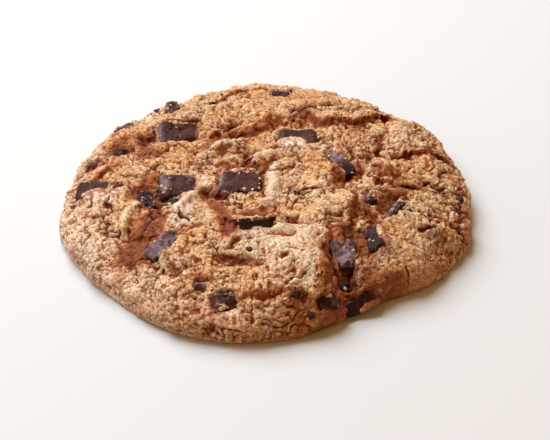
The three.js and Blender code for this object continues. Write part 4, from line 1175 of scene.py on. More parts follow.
# painted shade with some browning on the front and right of the rim, and painted light on the left wall
browned_and_shaded_side = np.exp(-(((away + 62) / 62) ** 2)) + 0.35 * np.exp(-(((away - 25) / 30) ** 2))
lit_wall_paint = np.exp(-(((away % 360 - 215) / 50) ** 2)) * smooth_step(11.5, 5, points[:, 2])
top_of_rim = 8.6 + 2.4 * np.exp(-(((away - 22) / 26) ** 2))
rim = np.clip(browned_and_shaded_side, 0, 1) * smooth_step(0, 5, top_of_rim - points[:, 2] + 1.2 * winding[:, 2])
rim = np.maximum(rim, patches(BROWN_BACK, at_x, at_y))
crust_values = {
    "gap": np.clip(gap_depth / 0.12, -1, 1), "crack": np.clip(crack_depth / 0.35, -1, 1),
    "valley": np.clip(valley_depth / 0.8, -1, 1), "cliff": np.clip(cliff, 0, 1),
    "torn": np.clip(torn, 0, 1) * smooth_step(0.3, 2.4, z), "under": under, "rim": rim,
    "hollow": np.clip(np.maximum(hollow, dark), 0, 1),
    "pits": pits * smooth_step(0.3, 2.4, z) * (1 - 0.8 * calm),
    "film_and_highlight": np.maximum(patches(PALE_STREAKS, at_x, at_y), strokes("film_and_highlight", *wandered(at_x, at_y))),
    "ochre": np.maximum(0.7 * patches(OCHRE, at_x, at_y), strokes("ochre", *wandered(at_x, at_y))),
    "cream": np.maximum(0.7 * patches(CREAM, at_x, at_y), strokes("cream", *wandered(at_x, at_y))),
    "toasted_and_shaded": toasted_and_shaded, "lit_wall_paint": lit_wall_paint,
    # beside the chocolate: smeared chocolate and painted shade
    "smear_and_shade": smooth_step(1.0, 0.0, near_chunk), "tone": lump_tone,
}
dough = make_piece("dough_baked", points, faces, crust_values)
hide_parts("dough")
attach(dough, "root")
print("dough object:", len(dough.data.polygons), "triangles")

# %% [markdown]
# ## Loose grains and crumbs
# The mesh can hold grains down to a millimetre. The finest ones stand on the crust as small bodies of
# their own, as sugar and broken crumbs do on a real one, and cast their own small shadows. They start as
# little balls of 8, 20 or 80 triangles, as few as their size allows.

# %% Little balls
def seed_shape(splits):
    """A ball of 8 triangles for 0, of 20 for 1, and of 80 for 2."""
    if splits == 0:
        ball = np.array([(1, 0, 0), (0, 1, 0), (-1, 0, 0), (0, -1, 0), (0, 0, 1), (0, 0, -1)], float)
        upper = [(n, (n + 1) % 4, 4) for n in range(4)]
        lower = [((n + 1) % 4, n, 5) for n in range(4)]
        return ball, np.array(upper + lower)
    shape = bmesh.new()
    bmesh.ops.create_icosphere(shape, subdivisions=splits, radius=1)
    ball = np.array([v.co[:] for v in shape.verts])
    triangles = np.array([[v.index for v in f.verts] for f in shape.faces])
    shape.free()
    return ball, triangles


print("triangles of a ball:", [len(seed_shape(splits)[1]) for splits in range(3)])

# %% [markdown]
# ## Throw grains over a surface
# Grains fall where chance takes them, but more on open crust than in a tear. Each is made uneven,
# stretched, and sunk a little into what it lies on. A particle system could throw them too, but real mesh
# lasts in every use of the model, and a fixed draw gives the same cookie each time.

# %% Scatter
GRAIN_SEED = 7
draw = np.random.default_rng(GRAIN_SEED)


def scatter(name, host, count, low, high, weight, sunk, splits, flatness=0.8):
    """Throws uneven grains with radii low..high over a host mesh, sunk by that share of their radius."""
    host_points, host_faces, host_values = host
    ball_points, ball_faces = seed_shape(splits)
    corner = host_points[host_faces]
    square = np.cross(corner[:, 1] - corner[:, 0], corner[:, 2] - corner[:, 0])
    chance = np.linalg.norm(square, axis=1) * weight
    at = draw.choice(len(host_faces), count, p=chance / chance.sum())
    mix = draw.dirichlet((1, 1, 1), count)
    place = (corner[at] * mix[:, :, None]).sum(1)
    up = facings(host_points, host_faces)[host_faces[at, 0]]
    side = np.cross(up, draw.normal(size=(count, 3)))
    side /= np.linalg.norm(side, axis=1, keepdims=True)
    other = np.cross(up, side)
    radius = low + (high - low) * draw.random(count) ** 1.6
    stretch = draw.uniform(0.75, 1.3, (count, 2))
    lumpy = 1 + draw.uniform(-0.24, 0.24, (count, len(ball_points)))
    local = ball_points[None] * lumpy[:, :, None] * radius[:, None, None]
    local = local * np.concatenate([stretch, np.full((count, 1), flatness)], 1)[:, None]
    body = place[:, None] + local[:, :, :1] * side[:, None] + local[:, :, 1:2] * other[:, None]
    body = body + (local[:, :, 2:] - (sunk * radius)[:, None, None]) * up[:, None]
    body = np.clip(body, cad_low + BOX_MARGIN, cad_high - BOX_MARGIN)
    triangles = ball_faces[None] + (np.arange(count) * len(ball_points))[:, None, None]
    height = (local[:, :, 2] / radius[:, None]) / flatness
    own = {key: np.repeat(v[host_faces[at, 0]], len(ball_points)) for key, v in host_values.items()}
    # each grain is darker at its foot and paler on top: painted shade and a painted highlight, through the
    # gap coat
    own["gap"] = np.clip(0.5 - 1.1 * height, -1, 1).ravel()
    own["crack"] = own["crack"] * 0.6
    own["tone"] = np.repeat(draw.random(count), len(ball_points))
    piece = make_piece(name, body.reshape(-1, 3), triangles.reshape(-1, 3), own)
    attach(piece, "root")
    print(name, len(piece.data.polygons), "triangles")
    return piece


print("seed of the draw:", GRAIN_SEED)

# %% [markdown]
# ## Sugar, flour and crumbs of crust
# Three sizes lie on the crust, in heaps: thousands of sugar grains, lumps of flour, and crumbs of the
# crust itself. There are fewer in the tears and where the crust is smooth, as on a real one.

# %% Grains on the crust
first_of_face = faces[:, 0]
open_crust = (faces < crust_count).all(1) * smooth_step(1.0, 2.4, points[first_of_face, 2])
heaps = smooth_step(-0.35, 0.35, rolling(points[first_of_face], 4.5, 91))
open_crust *= (0.35 + 0.65 * heaps) * (near_chunk[first_of_face] > 0.2) * (1 - 0.9 * covered[first_of_face])
untorn = 1 - np.maximum(0.85 * torn, 0.6 * bare)[first_of_face]
open_crust *= (1 - 0.6 * flat[first_of_face]) * (1 - 0.75 * calm[first_of_face]) * untorn
on_crust = (points, faces, crust_values)
rough_crust = open_crust * (1 - flat)[first_of_face]
fine_grains = scatter("sugar_grains", on_crust, count=19000, low=0.10, high=0.25, weight=open_crust,
                      sunk=0.2, splits=0)
mid_grains = scatter("flour_grains", on_crust, count=3600, low=0.24, high=0.48, weight=open_crust,
                     sunk=0.3, splits=1)
lump_grains = scatter("crust_crumbs", on_crust, count=1300, low=0.34, high=0.7, weight=rough_crust,
                      sunk=0.35, splits=2, flatness=0.6)
print("grains on the crust:", sum(len(o.data.polygons) for o in (fine_grains, mid_grains, lump_grains)))

# %% [markdown]
# ## Helpers for layered colour
# Both finishes are built in layers, as a painter would: a ground, and coats over it by amounts from 0 to
# 1. In Blender each coat is a mix node. Written out one by one the nodes would fill pages, so a few
# helpers add them to the finish that was opened last.

# %% Finish helpers
def new_finish(name):
    finish = bpy.data.materials.new(name)
    finish.use_nodes = True
    nodes = finish.node_tree.nodes
    return finish, nodes, finish.node_tree.links, nodes["Principled BSDF"]


def socket(target, value):
    """Sets an input to a number or colour, or links another node's output to it."""
    if isinstance(value, bpy.types.NodeSocket):
        links.new(value, target)
    elif isinstance(value, tuple) and len(value) == 3 and target.type == "RGBA":
        target.default_value = (*value, 1)
    else:
        target.default_value = value


def layer(amount, under, over):
    """One coat of colour over another, by an amount from 0 to 1."""
    mix = nodes.new("ShaderNodeMix")
    mix.data_type = "RGBA"
    mix.clamp_factor = True
    socket(mix.inputs[0], amount)
    socket(mix.inputs[6], under)
    socket(mix.inputs[7], over)
    return mix.outputs[2]


def scale(value, low, high, to_low=0.0, to_high=1.0):
    """Spreads low..high over to_low..to_high and stops at both ends."""
    fit = nodes.new("ShaderNodeMapRange")
    socket(fit.inputs["Value"], value)
    for key, number in (("From Min", low), ("From Max", high), ("To Min", to_low), ("To Max", to_high)):
        fit.inputs[key].default_value = number
    return fit.outputs["Result"]


def product(a, b):
    """Two amounts multiplied, so that a coat lies only where both are high."""
    multiply = nodes.new("ShaderNodeMath")
    multiply.operation = "MULTIPLY"
    socket(multiply.inputs[0], a)
    socket(multiply.inputs[1], b)
    return multiply.outputs[0]


def laid(ground, coats):
    """A ground colour with coats over it, each an amount and a colour."""
    for amount, over in coats:
        ground = layer(amount, ground, over)
    return ground


print("helpers:", [helper.__name__ for helper in (socket, layer, scale, product, laid)])

# %% [markdown]
# ## Helpers that give amounts
# The amounts come from three sources: a cloud of noise, grains packed side by side, or a value that was
# measured on the mesh. A mottle is a cloud cut to patches, and a coat is a measured value cut to a range.
# A painted picture could give them too, but it would blur close up.

# %% Amounts
def cloud(width_mm, detail=3.0, rough=0.6, seed=0.0):
    """Noise from 0 to 1 whose features are about width_mm wide."""
    place = nodes.new("ShaderNodeTexCoord")
    noise = nodes.new("ShaderNodeTexNoise")
    noise.noise_dimensions = "4D"
    noise.inputs["W"].default_value = seed
    noise.inputs["Scale"].default_value = 1000 / width_mm
    noise.inputs["Detail"].default_value = detail
    noise.inputs["Roughness"].default_value = rough
    links.new(place.outputs["Object"], noise.inputs["Vector"])
    return noise.outputs["Fac"]


def packed(width_mm, seed_mm):
    """Packed grains with crooked borders: distance to a border, and a colour of its own for each grain."""
    place = nodes.new("ShaderNodeTexCoord")
    bend = nodes.new("ShaderNodeTexNoise")
    bend.inputs["Scale"].default_value = 1000 / (0.9 * width_mm)
    bend.inputs["Detail"].default_value = 3
    links.new(place.outputs["Object"], bend.inputs["Vector"])
    bent = nodes.new("ShaderNodeVectorMath")
    bent.operation = "MULTIPLY_ADD"
    bent.inputs[1].default_value = (0.0011 * width_mm,) * 3
    links.new(bend.outputs["Color"], bent.inputs[0])
    links.new(place.outputs["Object"], bent.inputs[2])
    moved = nodes.new("ShaderNodeVectorMath")
    moved.operation = "ADD"
    moved.inputs[1].default_value = (seed_mm * MM, -seed_mm * MM, 0)
    links.new(bent.outputs[0], moved.inputs[0])
    cells = nodes.new("ShaderNodeTexVoronoi")
    cells.inputs["Scale"].default_value = 1000 / width_mm
    links.new(moved.outputs[0], cells.inputs["Vector"])
    border = nodes.new("ShaderNodeTexVoronoi")
    border.feature = "DISTANCE_TO_EDGE"
    border.inputs["Scale"].default_value = 1000 / width_mm
    links.new(moved.outputs[0], border.inputs["Vector"])
    return border.outputs["Distance"], cells.outputs["Color"]


def measured(name):
    """One of the values that was measured on the mesh."""
    read = nodes.new("ShaderNodeAttribute")
    read.attribute_name = name
    return read.outputs["Fac"]


def mottle(width, seed, low=0.42, high=0.6, most=1.0, detail=3):
    return scale(cloud(width, detail, 0.6, seed), low, high, 0, most)


def coat(key, low, high, most):
    return scale(measured(key), low, high, 0, most)


print("amounts:", [helper.__name__ for helper in (cloud, packed, measured, mottle, coat)])

# %% [markdown]
# ## The palette of the baked dough
# Baked dough isn't one brown. Sugar and fat keep it pale, heat turns it tan and then orange, and the
# inside of a tear goes red-brown to maroon. Several of these colours also serve below as painted light and
# painted shade. A colour ramp could hold these tones, but named colours can be used in several coats and
# read as words.

# %% Palette of the dough
dough_finish, nodes, links, shader = new_finish("baked_dough")
GOLDEN = (0.65, 0.36, 0.10)
PALE = (0.71, 0.55, 0.34)
CREAMY = (0.75, 0.63, 0.45)
STRAW = (0.70, 0.45, 0.17)
OCHRE_TAN = (0.72, 0.38, 0.08)
PINKISH = (0.74, 0.50, 0.30)
BLUSH = (0.82, 0.64, 0.48)
TAN = (0.64, 0.285, 0.06)
TAN_BROWN = (0.52, 0.19, 0.045)
ORANGE = (0.52, 0.185, 0.038)
BROWN = (0.22, 0.066, 0.02)
DEEP = (0.42, 0.092, 0.012)
CREVICE = (0.34, 0.072, 0.010)
GAP_BROWN = (0.25, 0.038, 0.007)
UMBER = (0.14, 0.036, 0.012)
MAROON = (0.12, 0.012, 0.005)
STREAK = (0.92, 0.79, 0.68)
print("from streak", STREAK, "to maroon", MAROON)

# %% [markdown]
# ## The ground and its grains
# The ground is a golden tan that wanders to pale, straw and pink. Grains of two sizes, packed side by
# side, each get a tone of their own. At a millimetre and less they are too fine for the mesh, so they are
# made here.

# %% Ground colours
def own_numbers(grain_colour):
    """The numbers that each packed grain has for its own."""
    parted = nodes.new("ShaderNodeSeparateColor")
    links.new(grain_colour, parted.inputs[0])
    return parted.outputs


crumble = cloud(1.1, 7, 0.8, 7)
speckle = cloud(0.55, 4, 0.7, 17)
border, grain_colour = packed(1.05, 3)
fine_border, fine_colour = packed(0.6, 11)
shade, fine_shade = own_numbers(grain_colour), own_numbers(fine_colour)
colour = layer(mottle(9, 1, 0.42, 0.58), GOLDEN, PALE)
colour = laid(colour, [
    (mottle(6, 3, 0.5, 0.66, 0.8), STRAW),
    (mottle(3.2, 2, 0.52, 0.68, 0.5), PINKISH),
    (mottle(2.6, 4, 0.5, 0.66, 0.7, 4), TAN),
    (scale(shade[0], 0.55, 1.0, 0, 0.6), PALE),
    (scale(shade[1], 0.6, 1.0, 0, 0.6), TAN),
    (scale(fine_shade[0], 0.7, 1.0, 0, 0.35), PINKISH),
])
print("ground:", len(nodes), "nodes so far")

# %% [markdown]
# ## Patches, crests and crumble
# Over the ground come the ochre and cream places, the cream with painted light, a left wall painted paler
# as painted light, a browner rim with painted shade, and lees that toast orange with painted shade. Then the
# crumbly texture makes some spots deeper and some paler, cracks darken with painted shade as well as
# browning, and the crests between gaps are paler, as drying and a painted highlight.

# %% Patches, crests and crumble
# cream places: dried pale and painted light
creamy = product(coat("cream", 0.1, 0.8, 0.9), mottle(1.8, 33, 0.3, 0.55))
colour = laid(colour, [
    (product(coat("ochre", 0.1, 0.8, 0.75), mottle(2.2, 31, 0.34, 0.56)), OCHRE_TAN),
    (creamy, CREAMY),
    (coat("tone", 0.75, 1.0, 0.45), PALE),
    (coat("tone", 0.3, 0.0, 0.5), TAN),
    # painted light on the left wall, then browning and painted shade on the front and right of the rim
    (coat("lit_wall_paint", 0.1, 0.9, 0.85), BLUSH),
    (coat("rim", 0.1, 0.9, 0.85), TAN_BROWN),
    # lees: toasting and painted shade
    (product(coat("toasted_and_shaded", 0.05, 0.6, 0.9), mottle(1.4, 47, 0.3, 0.5)), ORANGE),
    (scale(crumble, 0.46, 0.35, 0, 0.6), DEEP),
    (scale(crumble, 0.53, 0.66, 0, 0.5), PALE),
    (scale(speckle, 0.46, 0.37, 0, 0.7), DEEP),
    (scale(speckle, 0.55, 0.66, 0, 0.5), PALE),
    # painted shade in the cracks, with browning
    (coat("crack", 0.1, 0.75, 0.7), DEEP),
    # a painted highlight on the crests between gaps, with drying
    (coat("gap", -0.15, -0.8, 0.6), PALE),
])
print("with patches:", len(nodes), "nodes")

# %% [markdown]
# ## Toasted and shaded places and films
# Where the oven reached deep the crust toasts in steps, from orange to brown to umber, and the same
# strokes carry painted shade on the lees of folds and on steep walls. Pale films of fat and sugar lie over
# that, with a painted highlight on the lit edge of the right plate, and the floors of the wide valleys are
# painted orange, as browning and painted shade.

# %% Toasted and shaded places and films
# toasting and painted shade, in three steps
roasted_and_shaded = product(measured("toasted_and_shaded"), mottle(2.8, 43, 0.25, 0.5))
colour = laid(colour, [
    (scale(roasted_and_shaded, 0.1, 0.5, 0, 0.75), ORANGE),
    (scale(roasted_and_shaded, 0.25, 0.7, 0, 0.85), BROWN),
    (scale(roasted_and_shaded, 0.7, 1.4, 0, 0.8), UMBER),
    # films, with a painted highlight on the lit edge of the right plate
    (product(measured("film_and_highlight"), mottle(1.1, 5, 0.36, 0.56)), STREAK),
    # wide valleys: browning and painted shade
    (coat("valley", 0.1, 0.8, 0.6), ORANGE),
])
print("with toasted places:", len(nodes), "nodes")

# %% [markdown]
# ## Gaps, pits and tears
# The darkest coats come last, so that little that is pale lies over them. The gaps between grains, the
# pits, the torn walls and the hollows go red-brown to maroon, as browning and painted shade in them, and
# dough next to chocolate is darkened brown, as smeared chocolate and painted shade.

# %% Gaps, pits and tears
# gaps between packed grains, pits, cliffs, cracks, tears and hollows: browning and painted shade
between = product(scale(border, 0.11, 0.03), mottle(2.0, 21, 0.44, 0.58, 1.0, 4))
ragged = product(measured("cliff"), mottle(1.5, 41, 0.32, 0.56))
colour = laid(colour, [
    (scale(between, 0.0, 1.0, 0, 0.9), CREVICE),
    (coat("pits", 0.2, 0.9, 0.8), CREVICE),
    (scale(creamy, 0.3, 1.0, 0, 0.4), CREAMY),
    (scale(ragged, 0.15, 0.7, 0, 0.9), DEEP),
    (coat("gap", 0.1, 0.75, 0.85), GAP_BROWN),
    (coat("crack", 0.45, 1.0, 0.8), GAP_BROWN),
    (scale(ragged, 0.5, 1.0, 0, 0.85), GAP_BROWN),
    (product(measured("cliff"), coat("toasted_and_shaded", 0.2, 0.7, 0.9)), BROWN),
    (coat("torn", 0.35, 1.0, 0.85), MAROON),
    (coat("hollow", 0.2, 0.8, 0.9), MAROON),
    # beside each piece: smeared chocolate and painted shade
    (coat("smear_and_shade", 0.4, 1.0, 0.55), GAP_BROWN),
    (coat("under", 0.1, 0.9, 0.6), DEEP),
])
socket(shader.inputs["Base Color"], colour)
print("with tears:", len(nodes), "nodes")

# %% [markdown]
# ## Sheen and fine bump of the dough
# A dry crust hardly shines, and its roughness wanders from grain to grain. The bump adds what is too small
# for the mesh: packed grains under a millimetre, and crumble. More mesh could hold it too, but not within
# a sensible number of triangles.

# %% Sheen and bump of the dough
def raised(height, distance_mm, strength, under=None):
    """Bump from a height, on top of another bump."""
    bump = nodes.new("ShaderNodeBump")
    bump.inputs["Strength"].default_value = strength
    bump.inputs["Distance"].default_value = distance_mm * MM
    links.new(height, bump.inputs["Height"])
    if under is not None:
        links.new(under, bump.inputs["Normal"])
    return bump.outputs["Normal"]


socket(shader.inputs["Roughness"], scale(cloud(1.6, 4, 0.6, 6), 0.3, 0.7, 0.42, 0.72))
shader.inputs["Specular IOR Level"].default_value = 0.2
normal = raised(product(scale(border, 0.0, 0.22), mottle(3.4, 51, 0.36, 0.58)), 0.26, 0.85)
normal = raised(scale(fine_border, 0.0, 0.3), 0.06, 0.75, normal)
normal = raised(crumble, 0.5, 0.95, normal)
normal = raised(speckle, 0.22, 0.8, normal)
links.new(normal, shader.inputs["Normal"])
for piece in (dough, fine_grains, mid_grains, lump_grains):
    piece.data.materials.append(dough_finish)
print("baked dough finish:", len(nodes), "nodes")

# %% [markdown]
# ## Blocks of chocolate
# A bar that is chopped breaks into blocks with flat faces, crisp edges and small chips. Each starts as a
# closed grid over a box. Blender's own cube could be split instead, but its sides would all get the same
# number of steps, and a slab needs more along than through.

# %% Block grid
def block_grid(steps):
    """Points over a box one unit wide, on a lattice with that many steps each way, and its triangles."""
    a, b, c = steps
    i, j, k = np.meshgrid(np.arange(a + 1), np.arange(b + 1), np.arange(c + 1), indexing="ij")
    shell = (i % a == 0) | (j % b == 0) | (k % c == 0)
    number = np.full(shell.shape, -1)
    number[shell] = np.arange(shell.sum())
    spots = np.stack([i[shell] / a, j[shell] / b, k[shell] / c], 1) - 0.5
    triangles = []

    def side(sheet, flip):
        p00, p10, p11, p01 = sheet[:-1, :-1], sheet[1:, :-1], sheet[1:, 1:], sheet[:-1, 1:]
        quads = np.stack([q.ravel() for q in ((p00, p01, p11, p10) if flip else (p00, p10, p11, p01))], 1)
        triangles.append(quads[:, [0, 1, 2]])
        triangles.append(quads[:, [0, 2, 3]])

    side(number[:, :, 0], True)
    side(number[:, :, -1], False)
    side(number[:, 0, :], False)
    side(number[:, -1, :], True)
    side(number[0, :, :], True)
    side(number[-1, :, :], False)
    return spots, np.concatenate(triangles)


print("triangles on a block of 4 by 3 by 2 steps:", len(block_grid((4, 3, 2))[1]))

# %% [markdown]
# ## Break the block
# Pulling each point in by a high power rounds the edges only slightly. A few flat cuts take corners off,
# as the knife does, and noise makes the faces uneven and nibbles the edges. Real booleans would cut too,
# but leave slivers for triangles.

# %% Broken block
BLOCK_STEP = 0.26
SQUARE_EDGES = 9  # the higher, the sharper the edges
UNEVEN = [(3.2, 0.20), (1.5, 0.13), (0.7, 0.06)]  # width and height of what makes a face uneven


def chocolate_block(size, seed, step=BLOCK_STEP, power=SQUARE_EDGES, rough=1):
    """A broken block about its own middle, in mm."""
    chance = np.random.default_rng(seed)
    steps = [max(4, round(length / step)) for length in size]
    spots, triangles = block_grid(steps)
    reach = np.abs(spots) * 2
    rounded = (reach**power).sum(1) ** (1 / power)
    spots = spots * (reach.max(1) / rounded)[:, None]
    block = spots * np.array(size)
    for _ in range(7 if min(size) > 3.6 else 4):
        towards = chance.choice([-1, 1], 3) * chance.uniform(0.12, 1, 3)
        towards /= np.linalg.norm(towards)
        far = (np.abs(towards) * np.array(size) / 2).sum() * chance.uniform(0.74, 0.95)
        over = np.maximum(0, block @ towards - far)
        block = block - towards * over[:, None]
    middle = block / np.maximum(np.linalg.norm(block, axis=1, keepdims=True), 1e-9)
    small = rough * min(1, min(size) / 3)
    uneven = sum(h * rolling(block, wave, seed + 70 + n) for n, (wave, h) in enumerate(UNEVEN))
    chips = smooth_step(0.3, 0.7, rolling(block, 1.2, seed + 50))
    return block + small * middle * (uneven - 0.1 - 0.3 * chips)[:, None], triangles


print("triangles on the largest block:", len(chocolate_block(CHUNKS[0][1], 20)[1]))

# %% [markdown]
# ## What lies on the chocolate
# No two faces look alike: one has a lavender coat, partly a bloom of cocoa butter and partly painted
# reflection, one has a pale edge line that is a painted highlight, one is painted dark where it lies in
# shade, and one holds a row of crumbs. Each of these is a spot on the face of its piece, in the piece's own
# directions, so that it stays in place when the piece is turned.

# %% What lies on the chocolate
# where something lies on a piece: piece, what, middle across and along its face, half sizes, strength
# a bloom mark is bloom and painted reflection, an edge mark a painted highlight line, a dark mark painted
# shade
ON_CHOCOLATE = [
    (12, "bloom", (-2.5, 0), (2.9, 2.2), 1.0), (10, "bloom", (-0.9, 0.2), (4.2, 2.4), 0.6),
    (2, "bloom", (-2.7, 0.6), (0.9, 3.2), 0.9), (16, "bloom", (0, -0.6), (2.6, 3.4), 1.0),
    (14, "edge", (0, 0.35), (5.6, 0.35), 1.0), (20, "edge", (0, 1.1), (2.4, 0.4), 1.0),
    (10, "edge", (0, -1.9), (5, 0.4), 1.0), (13, "bloom", (-0.5, 0.4), (0.9, 0.7), 0.5),
    (12, "dark", (3, 0), (2.6, 3), 1.0), (10, "dark", (4.2, 0), (1.5, 2.4), 1.0),
    (3, "dark", (0, 0), (3, 6), 0.7), (4, "dark", (0, 0), (3, 3), 1.0), (15, "dark", (0, -1), (4, 6), 0.9),
    (2, "dark", (0, -3), (4, 1.6), 0.8), (1, "bloom", (-4.3, 0.4), (0.6, 3.4), 1.0),
    (1, "dark", (-4, -3), (2, 1.4), 0.9), (19, "dark", (0, 0), (6, 4), 0.5),
    (17, "dark", (0, 0), (4, 4), 0.5), (18, "dark", (0, 0), (3, 3), 0.8), (11, "dark", (0, 2), (5, 2), 0.5),
    (20, "dark", (0, 0), (7, 2), 0.8), (5, "bloom", (-4.2, -1), (0.6, 2.6), 1.0),
    (14, "dark", (0, -0.7), (6, 0.6), 1.0), (22, "bloom", (-2, 0), (1.2, 2), 1.0),
    (22, "dark", (1, 1.6), (2, 1), 0.5), (22, "dark", (0, -2.4), (3, 0.8), 1.0),
    (8, "dark", (-1, 2), (4, 2), 0.6), (13, "dark", (0.6, -0.5), (1.4, 1.4), 0.7),
    (21, "dark", (-1, 0), (2, 2), 0.6), (1, "crumbs", (0.3, 3.3), (3.8, 0.5), 1.0),
    (5, "crumbs", (0.8, 2.7), (4, 0.6), 1.0), (20, "crumbs", (0.5, 1.1), (4.5, 0.4), 0.7),
    (12, "crumbs", (-1, 0.6), (2.4, 0.8), 0.4), (2, "crumbs", (-3, -1), (1.2, 2.4), 0.5),
    (22, "crumbs", (-0.5, -0.8), (1.4, 1.2), 0.8), (17, "crumbs", (0.2, 1.4), (1.6, 0.7), 0.8),
    (8, "crumbs", (0, 1.6), (3, 0.6), 0.4), (15, "crumbs", (-1.2, -0.3), (0.7, 1), 0.6),
    (11, "crumbs", (0, -0.4), (3.6, 0.5), 0.5), (6, "crumbs", (0, -1.4), (1.2, 0.6), 0.5),
    (1, "crumbs", (0, -3.3), (4, 0.4), 0.5),
]
print(len(ON_CHOCOLATE), "marks on", len({piece for piece, *_ in ON_CHOCOLATE}), "pieces")

# %% [markdown]
# ## Make the blocks
# Each piece in the list is broken by its own seed and turned to its place. One melted and is nearly round,
# and others crumbled more. How much a point stands out over its neighbours says where the edges have wear
# and where they take a painted highlight.

# %% Blocks
# pieces that crumbled more than the others, and the one that melted round
ROUGHER = {3: 2.4, 4: 1.6, 9: 1.6, 10: 1.9, 2: 1.2, 16: 1.9, 17: 1.4, 18: 1.6, 22: 2.0, 23: 1.6, 14: 1.4}
ROUND_PIECE = 13
ROUND_EDGES = 3

blocks = []
for n, (middle, axes, size) in enumerate(chunk_frames):
    power = ROUND_EDGES if n + 1 == ROUND_PIECE else SQUARE_EDGES
    block, triangles = chocolate_block(size, 20 + n, power=power, rough=ROUGHER.get(n + 1, 1))
    evened = averaged(block, 6, edges_of(triangles))
    out = facings(block, triangles)
    # edges that stand out: wear and a painted highlight
    values = {"edge": np.clip(((block - evened) * out).sum(1) / 0.22, 0, 1)}
    up_side = smooth_step(-0.1, 0.5, out[:, 2])
    values.update(bloom=np.zeros(len(block)), dark=np.zeros(len(block)), crumbs=np.zeros(len(block)))
    # bloom, edge and crumb marks go only on faces turned up, the bloom marks with painted reflection and the
    # edge marks as painted highlight; dark marks, painted shade, go on every face
    for piece, what, at, half, strength in ON_CHOCOLATE:
        if piece == n + 1:
            there = strength * spot(at, half, 0, block[:, 0], block[:, 1])
            there = there * (up_side if what != "dark" else 1)
            values[what] = np.maximum(values[what], there)
    place = middle - axes[:, 2] * size[2] / 2
    placed = block @ axes.T + place
    placed[:, 2] = np.maximum(placed[:, 2], CHUNK_FLOOR)
    blocks.append((placed + CENTRING, triangles, values))
print("chocolate:", sum(len(b[1]) for b in blocks), "triangles in", len(blocks), "blocks")

# %% [markdown]
# ## The finish of the chocolate
# Dark chocolate is a deep purple-brown. Its faces are dull where it broke and only slightly waxy, so the
# gloss is low. Baking brings cocoa butter to the top, which dries as a lavender bloom; the lavender coats
# here are also painted reflection on faces turned up and a painted highlight along the edges, which have
# wear too. Near-black is painted shade, and pale specks are crumbs of dough and painted glints. Where each
# lies was worked out with the blocks above.

# %% Dark chocolate finish
chocolate_finish, nodes, links, shader = new_finish("dark_chocolate")
DARK = (0.030, 0.0085, 0.006)
WARM = (0.066, 0.020, 0.013)
EDGE = (0.48, 0.33, 0.32)
BLOOM_AND_SHEEN = (0.235, 0.16, 0.175)
NEAR_BLACK = (0.012, 0.006, 0.005)
CRUMB_AND_GLINT = (0.52, 0.37, 0.27)
colour = layer(mottle(2.6, 1, 0.38, 0.6), DARK, WARM)
wear_and_highlight = product(measured("edge"), mottle(1.4, 8, 0.42, 0.6))
colour = laid(colour, [
    (mottle(1.2, 4, 0.54, 0.74, 0.2, 5), BLOOM_AND_SHEEN),
    # edges: wear and a painted highlight
    (scale(wear_and_highlight, 0.1, 0.5, 0, 0.8), BLOOM_AND_SHEEN),
    (scale(wear_and_highlight, 0.5, 1.0, 0, 0.8), EDGE),
    # bloom and painted reflection on faces turned up
    (product(measured("bloom"), mottle(1.0, 12, 0.3, 0.55)), BLOOM_AND_SHEEN),
    # painted shade where marked, and a darker tone on the specks
    (coat("dark", 0.1, 0.9, 0.85), NEAR_BLACK),
    # pale specks: crumbs and painted glints
    (mottle(0.4, 9, 0.655, 0.70, 0.75), CRUMB_AND_GLINT),
])
socket(shader.inputs["Base Color"], colour)
socket(shader.inputs["Roughness"], scale(cloud(1.2, 4, 0.6, 3), 0.3, 0.7, 0.42, 0.68))
shader.inputs["Specular IOR Level"].default_value = 0.07
links.new(raised(cloud(0.6, 5, 0.7, 6), 0.18, 0.7), shader.inputs["Normal"])
print("dark chocolate:", len(nodes), "nodes")

# %% [markdown]
# ## Put the blocks in place
# Each block takes the place of one plain solid and keeps its number, so that the two can be compared.
# Joining them into one piece would be lighter, but they are separate on the real cookie.

# %% Pieces of chocolate
for n, (block, triangles, values) in enumerate(blocks):
    name = "chunk_%02d" % (n + 1)
    piece = make_piece("broken_" + name, block, triangles, values)
    piece.data.materials.append(chocolate_finish)
    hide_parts(name)
    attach(piece, "root")
print("dark chocolate finish on", len(blocks), "pieces")

# %% [markdown]
# ## Crumbs on the chocolate
# Baked dough crumbles over the edges of the chocolate beside it, and a few crumbs always lie on its faces.
# They are the same grains as on the crust, thrown over the upper faces of the blocks, most of them close
# to an edge.

# %% Crumbs on chocolate
all_points = np.concatenate([b[0] for b in blocks])
offsets = np.cumsum([0] + [len(b[0]) for b in blocks])
all_faces = np.concatenate([b[1] + start for b, start in zip(blocks, offsets)])
edge_share = np.concatenate([b[2]["edge"] for b in blocks])
upward = facings(all_points, all_faces)[:, 2]
crumb_values = {key: np.zeros(len(all_points)) for key in crust_values}
crumb_values["film_and_highlight"] += 0.3
crumb_weight = (smooth_step(0.3, 0.8, upward) * (0.004 + edge_share**1.5))[all_faces[:, 0]]
on_blocks = (all_points, all_faces, crumb_values)
block_crumbs = scatter("crumbs_on_chocolate", on_blocks, count=150, low=0.08, high=0.5, weight=crumb_weight,
                       sunk=0.25, splits=1, flatness=0.7)
block_crumbs.data.materials.append(dough_finish)

# %% [markdown]
# ## Rows of crumbs
# Along some edges the crumbs lie in a row, where dough broke off against the chocolate. The row's place is
# one of the marks on the piece, so the same scatter needs only another weight.

# %% Rows of crumbs
crumb_rows = np.concatenate([b[2]["crumbs"] for b in blocks])
row_weight = (smooth_step(0.3, 0.8, upward) * smooth_step(0.3, 1.0, crumb_rows))[all_faces[:, 0]]
row_crumbs = scatter("crumb_rows", on_blocks, count=120, low=0.16, high=0.62, weight=row_weight,
                     sunk=0.15, splits=2, flatness=0.7)
row_crumbs.data.materials.append(dough_finish)

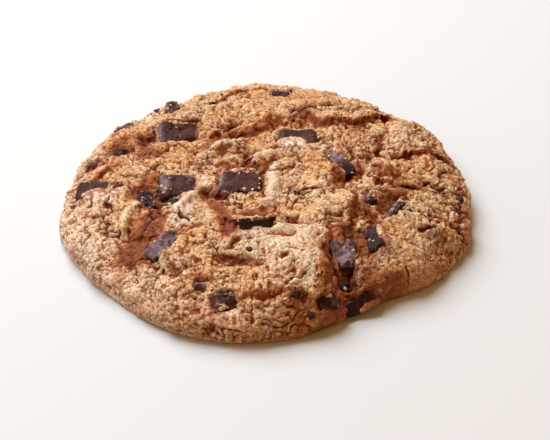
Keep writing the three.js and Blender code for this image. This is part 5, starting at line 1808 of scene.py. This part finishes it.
# %% [markdown]
# ## Crumbs of chocolate
# Chopping leaves dark crumbs, most of them beside the pieces and a few anywhere. They are thrown over the
# crust like the sugar, but with the finish of the chocolate.

# %% Crumbs of chocolate
# where chopping left dark crumbs: middle on the plan and half sizes
CHOPPED = [
    ((-24.6, -8.6), (1.6, 4)), ((30, -12), (1, 4)), ((-8.5, -11.2), (2.4, 0.8)), ((7, -10.6), (3.4, 0.8)),
    ((17.6, -25), (3, 2)), ((-3.6, 3), (0.8, 2)), ((-33.2, 10.6), (2.4, 1)), ((14, -38), (3, 3)),
    ((42.6, -5), (1, 2)), ((-26.6, 30), (2, 1)), ((20.4, -4), (1, 2)), ((-9.6, -21.6), (1.6, 1.6)),
    ((0, 22), (30, 16)),
]
chopped = np.zeros(len(points))
for at, size in CHOPPED:
    chopped += spot(at, size, 0, at_x, at_y) / (size[0] * size[1])
plain = (points, faces, {key: np.zeros(len(points)) for key in ("edge", "bloom", "dark", "crack")})
chopped_weight = open_crust * chopped[first_of_face]
chopped_bits = scatter("chocolate_crumbs", plain, count=200, low=0.10, high=0.42, weight=chopped_weight,
                       sunk=0.1, splits=1)
chopped_bits.data.materials.append(chocolate_finish)

# %% [markdown]
# ## Specks of chocolate
# The knife leaves specks as well as blocks. They could be crumbs, but at two millimetres a flat face
# shows. So they are the same broken blocks made small, each turned its own way and pressed into the crust.

# %% Specks
speck_points, speck_faces = [], []
for n, ((sx, sy), width) in enumerate(SPECKS):
    chance = np.random.default_rng(200 + n)
    size = (width, width * chance.uniform(0.65, 0.9), width * 0.8)
    block, triangles = chocolate_block(size, 100 + n, step=0.2, power=5)
    axes = turned(chance.uniform(0, 180), chance.uniform(-20, 35), chance.uniform(-20, 20))
    speck_faces.append(triangles + sum(len(q) for q in speck_points))
    speck_points.append(block @ axes.T + top_point(sx, sy) + [0, 0, -0.15 * width] + CENTRING)
speck_points, speck_faces = np.concatenate(speck_points), np.concatenate(speck_faces)
speck_values = {key: np.zeros(len(speck_points)) for key in ("edge", "bloom")}
speck_values["dark"] = np.full(len(speck_points), 0.5)
specks = make_piece("chocolate_specks", speck_points, speck_faces, speck_values)
specks.data.materials.append(chocolate_finish)
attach(specks, "root")
print("specks:", len(SPECKS), "with", len(specks.data.polygons), "triangles")
